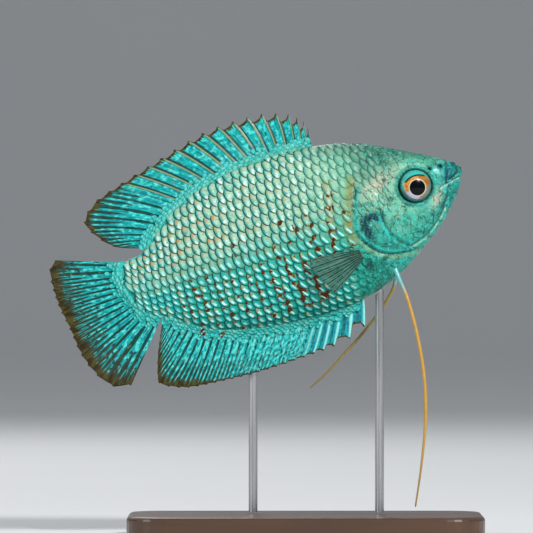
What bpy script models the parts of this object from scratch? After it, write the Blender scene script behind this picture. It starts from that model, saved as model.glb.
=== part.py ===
"""Dwarf gourami, a male of the powder-blue form, as a still, life-size model on a plain stand.

The row frame is in metres, +Z up. The fish looks along +X, its right flank faces -Y, and the origin
is the centre of the stand's underside. The fish itself is drawn in its own frame, in millimetres:
the tip of the snout is near x = 0, the tail runs towards -X, and the middle plane is y = 0. Finished
meshes are scaled to metres, and an empty then pitches the fish head up and lifts it over the stand.
"""

import math

import bmesh
import bpy
from mathutils import Matrix, Vector

MM = 0.001
GAP = 0.3  # air between pieces that touch
PITCH = math.radians(20)
SNOUT_X = 28.0  # where the snout stands over the base, along X
BASE_SIZE = (64.0, 36.0, 4.0)
BASE_CORNER = 7.0
BASE_BEVEL = 0.7
TIP_CLEARANCE = 1.3  # from the lowest feeler tip down to the base
LOWEST_TIP = 59.4  # from the snout down to that tip, as the fish hangs
SNOUT_Z = BASE_SIZE[2] + TIP_CLEARANCE + LOWEST_TIP
ROD_RADIUS = 0.8
ROD_SIDES = 20
ROD_SPARE = 3.0  # a rod is made this much too long and then cut to the belly

# One row for each station of the body, tail to snout: x, back, belly, half width, height of the
# widest point, and the power of the superellipse that the section follows (2 is an ellipse).
BODY = (
    (-63.9, 4.6, 1.4, 0.35, 3.0, 2.0),
    (-63.5, 5.7, -0.2, 0.6, 2.6, 2.0),
    (-62.7, 6.25, -2.2, 0.8, 1.8, 2.0),
    (-61.0, 6.6, -4.5, 1.15, 1.1, 2.0),
    (-59.0, 6.75, -5.4, 1.55, 0.9, 2.0),
    (-57.0, 7.7, -6.6, 1.9, 0.8, 2.0),
    (-55.0, 9.4, -8.2, 2.25, 0.7, 2.0),
    (-52.0, 11.5, -10.2, 2.75, 0.5, 2.0),
    (-48.0, 13.3, -11.9, 3.35, 0.2, 2.0),
    (-44.0, 14.4, -13.0, 3.9, -0.2, 2.0),
    (-40.0, 15.0, -13.8, 4.35, -0.6, 2.0),
    (-36.0, 15.3, -14.4, 4.75, -1.0, 2.0),
    (-32.0, 15.3, -14.8, 5.05, -1.5, 2.05),
    (-28.0, 15.1, -15.0, 5.3, -1.8, 2.1),
    (-24.0, 14.65, -14.85, 5.4, -1.8, 2.1),
    (-21.0, 14.0, -14.3, 5.4, -1.6, 2.1),
    (-18.0, 13.15, -13.45, 5.3, -1.2, 2.1),
    (-15.0, 12.05, -12.3, 5.1, -0.8, 2.1),
    (-12.0, 10.45, -10.65, 4.75, -0.3, 2.15),
    (-10.0, 9.3, -9.45, 4.45, 0.0, 2.2),
    (-8.0, 8.1, -8.25, 4.05, 0.3, 2.25),
    (-6.0, 6.9, -6.8, 3.55, 0.6, 2.25),
    (-4.0, 5.7, -5.1, 2.95, 0.8, 2.2),
    (-3.0, 5.1, -4.1, 2.55, 0.9, 2.2),
    (-2.0, 4.3, -3.1, 2.1, 1.0, 2.15),
    (-1.2, 3.65, -2.2, 1.65, 1.1, 2.1),
    (-0.5, 3.0, -1.2, 1.15, 1.1, 2.0),
    (0.0, 2.4, -0.2, 0.75, 1.1, 2.0),
    (0.3, 1.9, 0.5, 0.4, 1.2, 2.0),
)
TRUNK_RING_STEP = 2.2  # longest distance between two rings of the body's mesh
RING_POINTS = 28
THINNEST = 0.05  # half thickness left where the body is shrunk past its own middle

# Where the body is parted: lines in the side view, cut through from flank to flank.
GILL_EDGE = (
    (-18.3, 4.4), (-19.6, 2.0), (-20.7, -0.8), (-20.95, -2.7), (-20.3, -4.7),
    (-19.0, -6.7), (-17.0, -8.2), (-14.6, -8.9), (-12.4, -9.2),
)
NAPE_LINE = ((-15.6, 14.0), (-16.4, 9.5), (-17.3, 6.4))
THROAT_LINE = ((-11.2, -9.7), (-9.4, -11.9))
MOUTH_LINE = ((0.9, 2.9), (-0.2, 2.25), (-0.5, 1.25), (-1.3, 0.75), (-2.3, 0.35))
JAW_LINE = ((-3.0, -1.2), (-4.0, -3.0), (-4.6, -4.6), (-4.3, -7.0))
TAIL_STEM_X = -56.9
BODY_MIDDLE_X = -30.0
CUT_REACH = 9.0  # how far a cut goes to each side of the middle plane
COVER_FRONT = (
    (-18.3, 4.4), (-17.1, 3.8), (-16.3, 2.2), (-15.9, 0.0), (-15.9, -3.2), (-15.4, -5.6),
    (-14.3, -7.2), (-13.0, -8.4), (-12.4, -9.2),
)
COVER_STEPS = 12
GILL_STEPS = 16
COVER_LIFT = 0.3  # how proud the gill cover stands
COVER_DEPTH = 0.8
COVER_INNER_Y = 1.0  # the cuts behind the gill cover stay this far from the middle plane

EYE_AT = (-8.05, 2.75, 1.15)
EYE_RADII = (3.0, 2.0, 3.0)
EYE_YAW = math.radians(12)  # the eye looks a little forward
EYE_RIM_RADIUS = 3.4
EYE_RIM_THICK = 0.3
CHEEK_RIDGE = 0.24  # the radius of the ridge along the cheek's rear edge
CHEEK_RIDGE_AHEAD = 0.45

NOSTRILS = ((-2.95, 3.1, 0.34), (-4.9, 3.3, 0.3))  # x, z, radius
NOSTRIL_RIM = 0.15
NOSTRIL_DEPTH = 0.7

# Each lip runs along the flank from the corner of the mouth; its last point is on the middle plane.
UPPER_LIP = ((-2.3, 1.05), (-1.85, 1.6), (-1.2, 2.15), (-0.6, 2.7), (-0.35, 2.85))
LOWER_LIP = ((-2.3, -0.2), (-1.6, 0.05), (-0.9, 0.4), (-0.2, 1.1), (0.02, 1.5))
LIP_RADIUS = 0.5
LIP_CORNER = 0.4  # the lip's thickness at the corner of the mouth, as a share of its thickness in front
LIP_STEPS = 18

# Fin guides: ray number, its root (x, z) inside the body, and its tip (x, z). Rays between the
# rows follow a smooth curve through them.
DORSAL = {
    "rays": 25, "notch": (2.4, 0.3), "notch_fade": 6.5, "bow": 0.055, "sway": 0.5,
    "guides": (
        (0, -23.7, 13.2, -22.9, 17.8),
        (1, -24.5, 13.4, -23.2, 19.1),
        (3, -26.8, 13.6, -25.3, 21.3),
        (5, -29.6, 13.8, -29.8, 23.0),
        (7, -32.8, 13.9, -35.2, 23.5),
        (9, -36.3, 13.9, -41.0, 23.4),
        (12, -42.0, 13.0, -49.6, 21.7),
        (15, -47.4, 11.6, -57.8, 19.9),
        (17, -50.2, 10.4, -62.9, 18.6),
        (18, -51.5, 9.7, -65.3, 17.2),
        (19, -52.6, 9.0, -66.6, 15.6),
        (20, -53.5, 8.4, -66.1, 13.5),
        (22, -55.0, 7.4, -63.2, 9.7),
        (24, -56.0, 6.8, -58.4, 7.5),
    ),
}
ANAL = {
    "rays": 28, "notch": (2.1, 0.25), "notch_fade": 1.8, "bow": 0.05, "sway": 0.4,
    "guides": (
        (0, -23.6, -13.3, -25.5, -19.5),
        (1, -26.2, -13.6, -28.7, -20.5),
        (2, -28.1, -13.7, -31.9, -20.9),
        (5, -32.6, -13.4, -37.6, -20.9),
        (10, -40.2, -12.3, -46.2, -20.6),
        (14, -46.0, -10.8, -52.6, -19.9),
        (18, -50.6, -9.0, -59.0, -18.9),
        (20, -52.4, -8.1, -62.3, -17.5),
        (21, -53.3, -7.5, -63.8, -16.3),
        (22, -54.2, -6.9, -63.5, -14.6),
        (24, -56.0, -5.6, -62.2, -11.3),
        (27, -58.2, -4.0, -59.9, -6.9),
    ),
}
TAIL_FIN = {
    "rays": 16, "notch": (0.3, 0.3), "notch_fade": 1.0, "bow": 0.0, "sway": 1.1,
    "guides": (
        (0, -61.6, 6.0, -73.8, 10.9),
        (1, -61.9, 5.0, -75.3, 9.8),
        (2, -62.1, 4.1, -75.9, 7.6),
        (5, -62.2, 1.8, -76.1, 3.2),
        (8, -61.7, -0.3, -75.6, -1.6),
        (11, -60.9, -2.2, -75.2, -6.8),
        (13, -59.9, -3.4, -73.8, -11.2),
        (14, -59.3, -4.1, -71.8, -14.0),
        (15, -58.6, -4.6, -68.7, -15.0),
    ),
}
PECTORAL = {
    "rays": 10, "notch": (0.12, 0.12), "notch_fade": 1.0, "bow": 0.03, "sway": 0.0,
    "guides": (
        (0, -21.3, -6.2, -30.2, -4.6),
        (2, -21.3, -6.6, -31.1, -5.8),
        (5, -21.4, -7.1, -30.0, -8.6),
        (7, -21.5, -7.5, -29.3, -10.4),
        (9, -21.7, -7.9, -28.6, -12.1),
    ),
}
FIN_ROWS = 5
SWAY_WAVES = 1.1  # waves along the free edge of a fin
SWAY_PHASE = 0.4
MEMBRANE_HALF = 0.25
RAY_RISE = 0.22  # how far a ray stands out of the membrane at its root
EDGE_HALF = 0.16  # half the thickness along the free edge
ROOT_SWELL = 0.2
ROOT_SHARE = 0.3  # the swelling fades out over this share of a ray's length
EDGE_SHARE = 0.25  # the fin thins towards its edge over this share
VALLEYS = ((0.24, 0.55), (0.76, 1.0))  # between two rays: how far across, and the share of the notch
RAY_FADE = 0.8  # how much lower a ray is at its tip than at its root
PECTORAL_ROOT_Y = 4.3
PECTORAL_SPREAD = 2.6  # how far it swings out from the flank
PECTORAL_SWING = 3.5  # within this distance of its root

# Feelers: points along the middle line (x, distance from the middle plane, z), root to tip.
NEAR_FEELER = (
    (-16.9, 2.0, -10.9), (-16.75, 2.6, -13.6), (-16.6, 3.1, -17.4), (-17.2, 3.7, -24.0),
    (-18.6, 4.1, -31.4), (-21.0, 4.4, -38.7), (-24.4, 4.5, -46.0), (-28.1, 4.5, -52.9),
)
FAR_FEELER = (
    (-16.9, 2.0, -11.2), (-17.6, 2.7, -13.8), (-19.4, 3.4, -15.8), (-22.4, 4.2, -18.1),
    (-26.4, 5.0, -20.6), (-30.4, 5.7, -22.7), (-34.4, 6.1, -24.8), (-38.6, 6.5, -26.6),
)
FEELER_ROOT_RADIUS = 0.5
FEELER_RADIUS = 0.3
FEELER_TIP_RADIUS = 0.14
FEELER_SWELL_LENGTH = 4.0
FEELER_PARTS = ("upper", "middle", "lower")
FEELER_STEPS = 8
FEELER_THINS = 0.6  # from this share of its length on, a feeler thins to its tip

# Each rod stands under this point of the fish: x in the fish's frame, y off the middle plane.
RODS = {"front": (-20.8, 0.0), "rear": (-44.0, 1.85)}


def clear_scene():
    for obj in list(bpy.data.objects):
        bpy.data.objects.remove(obj)


def material(name, colour, roughness, metallic=0.0):
    made = bpy.data.materials.new(name)
    made.use_nodes = True
    shader = made.node_tree.nodes["Principled BSDF"]
    shader.inputs["Base Color"].default_value = (*colour, 1.0)
    shader.inputs["Roughness"].default_value = roughness
    shader.inputs["Metallic"].default_value = metallic
    return made


def smooth_row(rows, at):
    """The values of a table at a key, on a smooth curve through its rows. The key is column 0."""
    last = len(rows) - 1
    i = 0
    while i < last - 1 and rows[i + 1][0] < at:
        i += 1
    low, high = rows[i], rows[i + 1]
    before, after = rows[max(i - 1, 0)], rows[min(i + 2, last)]
    step = high[0] - low[0]
    t = min(max((at - low[0]) / step, 0.0), 1.0)
    values = []
    for a, b, c, d in zip(before[1:], low[1:], high[1:], after[1:]):
        slope_in = (c - a) / (high[0] - before[0]) * step
        slope_out = (d - b) / (after[0] - low[0]) * step
        values.append(
            b * (2 * t**3 - 3 * t**2 + 1)
            + c * (3 * t**2 - 2 * t**3)
            + slope_in * (t**3 - 2 * t**2 + t)
            + slope_out * (t**3 - t**2)
        )
    return values


def smooth_path(points, steps):
    """Points on a smooth curve through the given ones, evenly spaced in their number."""
    rows = [(i, *p) for i, p in enumerate(points)]
    last = len(points) - 1
    return [Vector(smooth_row(rows, last * k / steps)) for k in range(steps + 1)]


def flank(x, z, grow=0.0):
    """How far the body's surface is from the middle plane at this place of the side view."""
    back, belly, half, widest, power = smooth_row(BODY, x)
    reach = (back + grow - widest) if z > widest else (widest - belly + grow)
    t = min(abs(z - widest) / reach, 1.0)
    return (half + grow) * (1 - t**power) ** (1 / power)


def on_flank(x, z, side, lift=0.0):
    return Vector((x, side * (flank(x, z) + lift), z))


def new_object(name, bm):
    bmesh.ops.recalc_face_normals(bm, faces=bm.faces)
    mesh = bpy.data.meshes.new(name)
    bm.to_mesh(mesh)
    bm.free()
    obj = bpy.data.objects.new(name, mesh)
    bpy.context.scene.collection.objects.link(obj)
    return obj


def ring_places():
    """Where the body's rings stand: the stations, with more between those that lie far apart."""
    places = []
    for low, high in zip(BODY, BODY[1:]):
        parts = math.ceil((high[0] - low[0]) / TRUNK_RING_STEP)
        places += [low[0] + (high[0] - low[0]) * k / parts for k in range(parts)]
    return [*places, BODY[-1][0]]


def body_form(name, grow=0.0):
    """The whole body without fins, from the tail stem to the snout, grown by a skin of that depth."""
    bm = bmesh.new()
    places = ring_places()
    rings = []
    for i, x in enumerate(places):
        back, belly, half, widest, power = smooth_row(BODY, x)
        shift = -grow if i == 0 else grow if i == len(places) - 1 else 0.0
        ring = []
        for k in range(RING_POINTS):
            angle = 2 * math.pi * k / RING_POINTS
            across, up = math.cos(angle), math.sin(angle)
            reach = back - widest if up > 0 else widest - belly
            y = math.copysign(abs(across) ** (2 / power), across) * max(half + grow, THINNEST)
            z = math.copysign(abs(up) ** (2 / power), up) * max(reach + grow, THINNEST)
            ring.append(bm.verts.new((x + shift, y, widest + z)))
        rings.append([bm.edges.new((a, b)) for a, b in zip(ring, ring[1:] + ring[:1])])
    for first, second in zip(rings, rings[1:]):
        bmesh.ops.bridge_loops(bm, edges=first + second)
    bmesh.ops.holes_fill(bm, edges=bm.edges[:], sides=RING_POINTS)
    return new_object(name, bm)


def prism(name, outline, low, high):
    """An outline of the side view, made solid from y = low to y = high."""
    bm = bmesh.new()
    face = bm.faces.new([bm.verts.new((x, low, z)) for x, z in outline])
    grown = bmesh.ops.extrude_face_region(bm, geom=[face])
    raised = [v for v in grown["geom"] if isinstance(v, bmesh.types.BMVert)]
    bmesh.ops.translate(bm, verts=raised, vec=(0, high - low, 0))
    return new_object(name, bm)


def thin_cut(name, line, low=-CUT_REACH, high=CUT_REACH):
    """A slab as thick as the gap, along a line of the side view."""
    points = [Vector(p) for p in line]
    outer, inner = [], []
    for i, p in enumerate(points):
        along = (points[min(i + 1, len(points) - 1)] - points[max(i - 1, 0)]).normalized()
        across = Vector((-along.y, along.x)) * (GAP / 2)
        outer.append(tuple(p + across))
        inner.append(tuple(p - across))
    return prism(name, outer + inner[::-1], low, high)


def tube(name, points, radii, closed=False, roundness=1):
    """A closed tube along the points, with a radius for each."""
    curve = bpy.data.curves.new(name, "CURVE")
    curve.dimensions = "3D"
    curve.bevel_depth = 1.0
    curve.bevel_resolution = roundness
    curve.use_fill_caps = not closed
    spline = curve.splines.new("POLY")
    spline.points.add(len(points) - 1)
    spline.use_cyclic_u = closed
    for place, co, radius in zip(spline.points, points, radii):
        place.co = (*co, 1.0)
        place.radius = radius
    guide = bpy.data.objects.new(name, curve)
    bpy.context.scene.collection.objects.link(guide)
    bpy.context.view_layer.update()
    bm = bmesh.new()
    bm.from_mesh(guide.to_mesh())
    bmesh.ops.remove_doubles(bm, verts=bm.verts, dist=1e-4)
    bpy.data.objects.remove(guide)
    return new_object(name, bm)


def ball(name, centre, radii, yaw=0.0, segments=20, rings=12):
    bm = bmesh.new()
    bmesh.ops.create_uvsphere(bm, u_segments=segments, v_segments=rings, radius=1.0)
    turn = Matrix.Translation(centre) @ Matrix.Rotation(yaw, 4, "Z") @ Matrix.Diagonal((*radii, 1))
    # The poles lie on the eye's line of sight, so that the pupil sits in the finest facets.
    turn = turn @ Matrix.Rotation(math.pi / 2, 4, "X")
    bmesh.ops.transform(bm, matrix=turn, verts=bm.verts)
    return new_object(name, bm)


def combine(target, others, operation):
    """One Boolean of the target with a collection of closed meshes, applied, which are then removed."""
    group = bpy.data.collections.new("pieces")
    for other in others:
        group.objects.link(other)
    step = target.modifiers.new("combine", "BOOLEAN")
    step.operation = operation
    step.operand_type = "COLLECTION"
    step.collection = group
    # Every form here is closed. The exact solver leaves slivers where the many thin cuts cross.
    step.solver = "MANIFOLD"
    bpy.context.view_layer.update()
    graph = bpy.context.evaluated_depsgraph_get()
    result = bpy.data.meshes.new_from_object(target.evaluated_get(graph))
    target.modifiers.remove(step)
    target.data = result
    for other in others:
        bpy.data.objects.remove(other)
    bpy.data.collections.remove(group)
    return target


def islands(obj):
    """The separate closed surfaces of a mesh, largest first, each as a new object. The first is removed."""
    bm = bmesh.new()
    bm.from_mesh(obj.data)
    unseen = set(bm.faces)
    groups = []
    while unseen:
        group, edge = set(), [unseen.pop()]
        while edge:
            face = edge.pop()
            group.add(face)
            near = {n for e in face.edges for n in e.link_faces} & unseen
            unseen -= near
            edge += near
        groups.append({f.index for f in group})
    made = []
    for indices in groups:
        part = bm.copy()
        part.faces.ensure_lookup_table()
        spare = [f for f in part.faces if f.index not in indices]
        bmesh.ops.delete(part, geom=spare, context="FACES")
        made.append((part.calc_volume(signed=True), new_object("island", part)))
    bm.free()
    bpy.data.objects.remove(obj)
    made.sort(key=lambda pair: -pair[0])
    return [piece for _, piece in made]


def keep_largest(obj):
    name = obj.name
    first, *rest = islands(obj)
    for spare in rest:
        bpy.data.objects.remove(spare)
    first.name = name
    return first


def centre_of(obj):
    corners = [Vector(c) for c in obj.bound_box]
    return sum(corners, Vector()) / len(corners)


def lip(name, line):
    """A lip from one corner of the mouth round the front to the other, thinner at its ends."""
    right = [on_flank(x, z, -1) for x, z in line[:-1]]
    front = Vector((line[-1][0], 0.0, line[-1][1]))
    left = [Vector((p.x, -p.y, p.z)) for p in reversed(right)]
    path = smooth_path([*right, front, *left], LIP_STEPS)
    arch = [math.sin(math.pi * k / LIP_STEPS) for k in range(LIP_STEPS + 1)]
    return tube(name, path, [LIP_RADIUS * (LIP_CORNER + (1 - LIP_CORNER) * a) for a in arch])


def eye_rim(side):
    """The ring of skin round the eye, lying on the flank."""
    return flank_ring("eye_rim", EYE_AT[0], EYE_AT[2], EYE_RIM_RADIUS, EYE_RIM_THICK, 22, side)


def nostril_rim(x, z, radius, side):
    return flank_ring("nostril_rim", x, z, radius + NOSTRIL_RIM / 2, NOSTRIL_RIM, 10, side)


def flank_ring(name, x, z, radius, thick, count, side):
    """A closed round bead that lies on the flank."""
    turns = [2 * math.pi * k / count for k in range(count)]
    path = [on_flank(x + radius * math.cos(a), z + radius * math.sin(a), side) for a in turns]
    return tube(name, path, [thick] * count, closed=True)


def cheek_ridge(side):
    """The edge of the cheek bone, in front of the gill cover."""
    path = smooth_path(COVER_FRONT[1:-1], COVER_STEPS)
    points = [on_flank(p.x + CHEEK_RIDGE_AHEAD, p.y, side) for p in path]
    return tube("ridge", points, [CHEEK_RIDGE] * len(points))


def cover_region(name, low, high):
    """The gill cover's outline in the side view, made solid between two depths."""
    front = [tuple(p) for p in smooth_path(COVER_FRONT, COVER_STEPS)]
    rear = [tuple(p) for p in smooth_path(GILL_EDGE, GILL_STEPS)]
    return prism(name, front + rear[-2:0:-1], low, high)


def side_span(side):
    return (COVER_INNER_Y, CUT_REACH) if side > 0 else (-CUT_REACH, -COVER_INNER_Y)


def cover_bulge(side):
    """What makes the gill cover stand proud of the head."""
    low, high = side_span(side)
    return combine(cover_region("bulge", low, high), [body_form("skin", COVER_LIFT)], "INTERSECT")


def cover_floor(side):
    """The thin space behind the gill cover."""
    low, high = side_span(side)
    space = cover_region("floor", low, high)
    combine(space, [body_form("outer", -COVER_DEPTH)], "INTERSECT")
    return combine(space, [body_form("inner", -COVER_DEPTH - GAP)], "DIFFERENCE")


def cover_rim_cut(side):
    """The thin cut round the gill cover's front edge, down to its floor."""
    low, high = side_span(side)
    line = [(-18.5, 4.5), *[tuple(p) for p in smooth_path(COVER_FRONT, COVER_STEPS)], (-12.2, -9.5)]
    cut = thin_cut("rim_cut", line, low, high)
    return combine(cut, [body_form("inner", -COVER_DEPTH - GAP)], "DIFFERENCE")


def body_parts():
    """Head, lower jaw, gill covers, torso and tail stem, modelled whole and parted with thin cuts."""
    whole = body_form("whole")
    forms = [lip("upper_lip", UPPER_LIP), lip("lower_lip", LOWER_LIP)]
    for side in (-1, 1):
        forms += [eye_rim(side), cheek_ridge(side), cover_bulge(side)]
        forms += [nostril_rim(x, z, radius, side) for x, z, radius in NOSTRILS]
    whole = keep_largest(combine(whole, forms, "UNION"))

    gill_line = [*NAPE_LINE, *[tuple(p) for p in smooth_path(GILL_EDGE, GILL_STEPS)], *THROAT_LINE]
    cuts = [
        thin_cut("gill_cut", gill_line),
        thin_cut("jaw_cut", [*MOUTH_LINE, *JAW_LINE]),
        thin_cut("stem_cut", ((TAIL_STEM_X, 14.0), (TAIL_STEM_X, -14.0))),
    ]
    for side in (-1, 1):
        centre = (EYE_AT[0], side * EYE_AT[1], EYE_AT[2])
        cuts.append(ball("socket", centre, [r + GAP for r in EYE_RADII], -side * EYE_YAW, 20, 12))
        cuts += [cover_floor(side), cover_rim_cut(side)]
        for x, z, radius in NOSTRILS:
            cuts.append(ball("nostril", on_flank(x, z, side), (radius, NOSTRIL_DEPTH, radius), 0.0, 8, 6))
    whole = combine(whole, cuts, "DIFFERENCE")

    named = {}
    for piece in islands(whole):
        key = piece_name(centre_of(piece))
        if key in named:
            bpy.data.objects.remove(piece)
            continue
        piece.name = key
        named[key] = piece
    return named


def piece_name(middle):
    """Which part of the body has its middle here."""
    if middle.x < TAIL_STEM_X:
        return "tail_stem"
    if middle.x < BODY_MIDDLE_X:
        return "torso"
    if middle.x > JAW_LINE[0][0]:
        return "lower_jaw"
    if abs(middle.y) < COVER_INNER_Y:
        return "head"
    return "gill_cover_left" if middle.y > 0 else "gill_cover_right"


def fin_column(fin, place, notch):
    """Root, middle and tip of the fin's line at this ray number, the tip drawn in by the notch."""
    root_x, root_z, tip_x, tip_z = smooth_row(fin["guides"], place)
    root, tip = Vector((root_x, root_z)), Vector((tip_x, tip_z))
    along = tip - root
    tip -= along.normalized() * notch
    bend = Vector((-along.y, along.x)) * fin["bow"]
    if bend.x < 0:
        bend.negate()
    return root, (root + tip) / 2 + bend, tip


def fin_columns(fin):
    """For each line of the fin's mesh: its ray number, whether it is a ray, and its notch.

    The membrane starts near the tip of one ray and meets the next one lower down.
    """
    first, last = fin["notch"]
    columns = [(0, 1.0, 0.0)]
    for ray in range(fin["rays"] - 1):
        deep = last + (first - last) * math.exp(-ray / fin["notch_fade"])
        columns += [(ray + across, 0.0, share * deep) for across, share in VALLEYS]
        columns.append((ray + 1, 1.0, 0.0))
    return columns


def fin_form(name, fin, middle_y):
    """A fin as one closed sheet: thin membrane with its rays raised on both faces."""
    columns = fin_columns(fin)
    bm = bmesh.new()
    bmesh.ops.create_grid(bm, x_segments=len(columns) - 1, y_segments=FIN_ROWS - 1, size=0.5)
    bmesh.ops.triangulate(bm, faces=bm.faces)
    grid = bmesh.ops.extrude_face_region(bm, geom=bm.faces[:])
    far = {v for v in grid["geom"] if isinstance(v, bmesh.types.BMVert)}
    for vert in bm.verts:
        column = round((vert.co.x + 0.5) * (len(columns) - 1))
        t = vert.co.y + 0.5
        place, ray, notch = columns[column]
        root, middle, tip = fin_column(fin, place, notch)
        flat = root * (1 - t) ** 2 + middle * 2 * t * (1 - t) + tip * t**2
        near_edge = max(0.0, 1 - (1 - t) / EDGE_SHARE)
        near_root = max(0.0, 1 - t / ROOT_SHARE)
        thin = MEMBRANE_HALF + (EDGE_HALF - MEMBRANE_HALF) * near_edge + ROOT_SWELL * near_root
        thick = thin + ray * RAY_RISE * (1 - RAY_FADE * t)
        side = 1 if vert in far else -1
        wave = fin["sway"] * t * t * math.sin(2 * math.pi * SWAY_WAVES * place / fin["rays"] + SWAY_PHASE)
        y = middle_y((flat - root).length) + wave + side * thick
        vert.co = (flat.x, y, flat.y)
    return new_object(name, bm)


def rooted_fin(name, fin, middle_y=lambda reach: 0.0):
    """A fin cut clear of the body, so that it meets the skin face to face."""
    return keep_largest(combine(fin_form(name, fin, middle_y), [body_form("skin", GAP)], "DIFFERENCE"))


def pectoral_fin(name, side):
    def middle_y(reach):
        return side * (PECTORAL_ROOT_Y + PECTORAL_SPREAD * (1 - math.exp(-reach / PECTORAL_SWING)))

    return rooted_fin(name, PECTORAL, middle_y)


def feeler(name, line, side):
    """A pelvic fin: one long thread, in three lengths that meet end to end."""
    steps = 64
    path = smooth_path([(x, side * y, z) for x, y, z in line], steps)
    reach = [0.0]
    for a, b in zip(path, path[1:]):
        reach.append(reach[-1] + (b - a).length)
    total = reach[-1]

    def at(distance):
        i = max(k for k in range(steps) if reach[k] <= distance or k == 0)
        t = (distance - reach[i]) / (reach[i + 1] - reach[i])
        return path[i].lerp(path[i + 1], t)

    def radius(distance):
        swell = max(0.0, 1 - distance / FEELER_SWELL_LENGTH)
        near_tip = max(0.0, 1 - (1 - distance / total) / (1 - FEELER_THINS))
        thin = FEELER_RADIUS + (FEELER_TIP_RADIUS - FEELER_RADIUS) * near_tip
        return thin + (FEELER_ROOT_RADIUS - FEELER_RADIUS) * swell

    made = []
    length = total / len(FEELER_PARTS)
    for i, part in enumerate(FEELER_PARTS):
        start = i * length + (GAP / 2 if i else 0.0)
        end = (i + 1) * length - (GAP / 2 if i < len(FEELER_PARTS) - 1 else 0.0)
        places = [start + (end - start) * k / FEELER_STEPS for k in range(FEELER_STEPS + 1)]
        points = [at(min(p, total - 1e-6)) for p in places]
        piece = tube(f"{name}_{part}", points, [radius(p) for p in places], roundness=2)
        if i == 0:
            piece = keep_largest(combine(piece, [body_form("skin", GAP)], "DIFFERENCE"))
        made.append(piece)
    return made


def fish_to_row():
    place = Vector((SNOUT_X, 0.0, SNOUT_Z)) * MM
    return Matrix.Translation(place) @ Matrix.Rotation(-PITCH, 4, "Y")


def stand_base():
    bm = bmesh.new()
    bmesh.ops.create_cube(bm, size=1.0)
    bmesh.ops.scale(bm, vec=BASE_SIZE, verts=bm.verts)
    bmesh.ops.translate(bm, vec=(0, 0, BASE_SIZE[2] / 2), verts=bm.verts)
    upright = [e for e in bm.edges if abs(e.verts[0].co.z - e.verts[1].co.z) > 1]
    bmesh.ops.bevel(bm, geom=upright, offset=BASE_CORNER, segments=8, profile=0.5, affect="EDGES", material=-1)
    top = [e for e in bm.edges if all(v.co.z > BASE_SIZE[2] - 0.1 for v in e.verts)]
    bmesh.ops.bevel(bm, geom=top, offset=BASE_BEVEL, segments=3, profile=0.5, affect="EDGES", material=-1)
    return new_object("stand_base", bm)


def stand_rod(name, fish_x, y):
    """A rod from the base up to the underside of the body, whose top follows the belly."""
    back, belly, half, widest, power = smooth_row(BODY, fish_x)
    side = min(abs(y) / half, 1.0)
    z = widest - (widest - belly) * (1 - side**power) ** (1 / power)
    foot = fish_to_row() @ (Vector((fish_x, y, z)) * MM) / MM
    low = BASE_SIZE[2] + GAP
    high = foot.z + ROD_SPARE
    bm = bmesh.new()
    bmesh.ops.create_cone(
        bm, cap_ends=True, segments=ROD_SIDES, radius1=ROD_RADIUS, radius2=ROD_RADIUS, depth=high - low
    )
    bmesh.ops.translate(bm, vec=(foot.x, y, (low + high) / 2), verts=bm.verts)
    rod = new_object(name, bm)
    skin = body_form("skin", GAP)
    in_row = Matrix.Diagonal((1 / MM, 1 / MM, 1 / MM, 1)) @ fish_to_row() @ Matrix.Diagonal((MM, MM, MM, 1))
    skin.data.transform(in_row)
    return keep_largest(combine(rod, [skin], "DIFFERENCE"))


def finish(obj, look, parent=None):
    """Scales a mesh from millimetres to metres, gives it its material, and shades it."""
    obj.data.transform(Matrix.Diagonal((MM, MM, MM, 1)))
    obj.data.materials.clear()
    obj.data.materials.append(look)
    obj.data.shade_smooth()
    obj.data.set_sharp_from_angle(angle=math.radians(40))
    obj.parent = parent


def main():
    clear_scene()
    skin = material("blue_green_skin", (0.22, 0.66, 0.58), 0.35, 0.2)
    pale_skin = material("mint_head_skin", (0.42, 0.72, 0.56), 0.35, 0.2)
    fin_look = material("turquoise_fin", (0.04, 0.58, 0.62), 0.35, 0.2)
    clear_fin = material("grey_green_fin", (0.28, 0.42, 0.38), 0.4)
    feeler_look = material("golden_feeler", (0.72, 0.5, 0.12), 0.4)
    eye_look = material("eye", (0.62, 0.3, 0.06), 0.08)
    wood = material("dark_wood", (0.09, 0.045, 0.025), 0.4)
    steel = material("steel", (0.55, 0.55, 0.56), 0.25, 1.0)

    fish = bpy.data.objects.new("fish", None)
    bpy.context.scene.collection.objects.link(fish)
    fish.matrix_world = fish_to_row()

    for name, piece in body_parts().items():
        finish(piece, skin if name in ("torso", "tail_stem") else pale_skin, fish)
    for side, name in ((-1, "right"), (1, "left")):
        centre = (EYE_AT[0], side * EYE_AT[1], EYE_AT[2])
        finish(ball(f"eye_{name}", centre, EYE_RADII, -side * EYE_YAW), eye_look, fish)
        finish(pectoral_fin(f"pectoral_fin_{name}", side), clear_fin, fish)
    finish(rooted_fin("dorsal_fin", DORSAL), fin_look, fish)
    finish(rooted_fin("anal_fin", ANAL), fin_look, fish)
    finish(rooted_fin("tail_fin", TAIL_FIN), fin_look, fish)
    for piece in [*feeler("feeler_right", NEAR_FEELER, -1), *feeler("feeler_left", FAR_FEELER, 1)]:
        finish(piece, feeler_look, fish)

    finish(stand_base(), wood)
    for name, (fish_x, y) in RODS.items():
        finish(stand_rod(f"stand_rod_{name}", fish_x, y), steel)


main()
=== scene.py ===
"""Dresses the dwarf gourami model: skin, scales, fins, eyes, feelers, stand, floor, light and camera.

The fish is drawn in its own frame, in millimetres, as in the part's source: the tip of the snout is
near x = 0, the tail runs towards -X, its right flank faces -Y and the middle plane is y = 0. Every
mesh is then moved to the row frame, in metres, so that each finished object sits at the origin.
"""

import math

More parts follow.
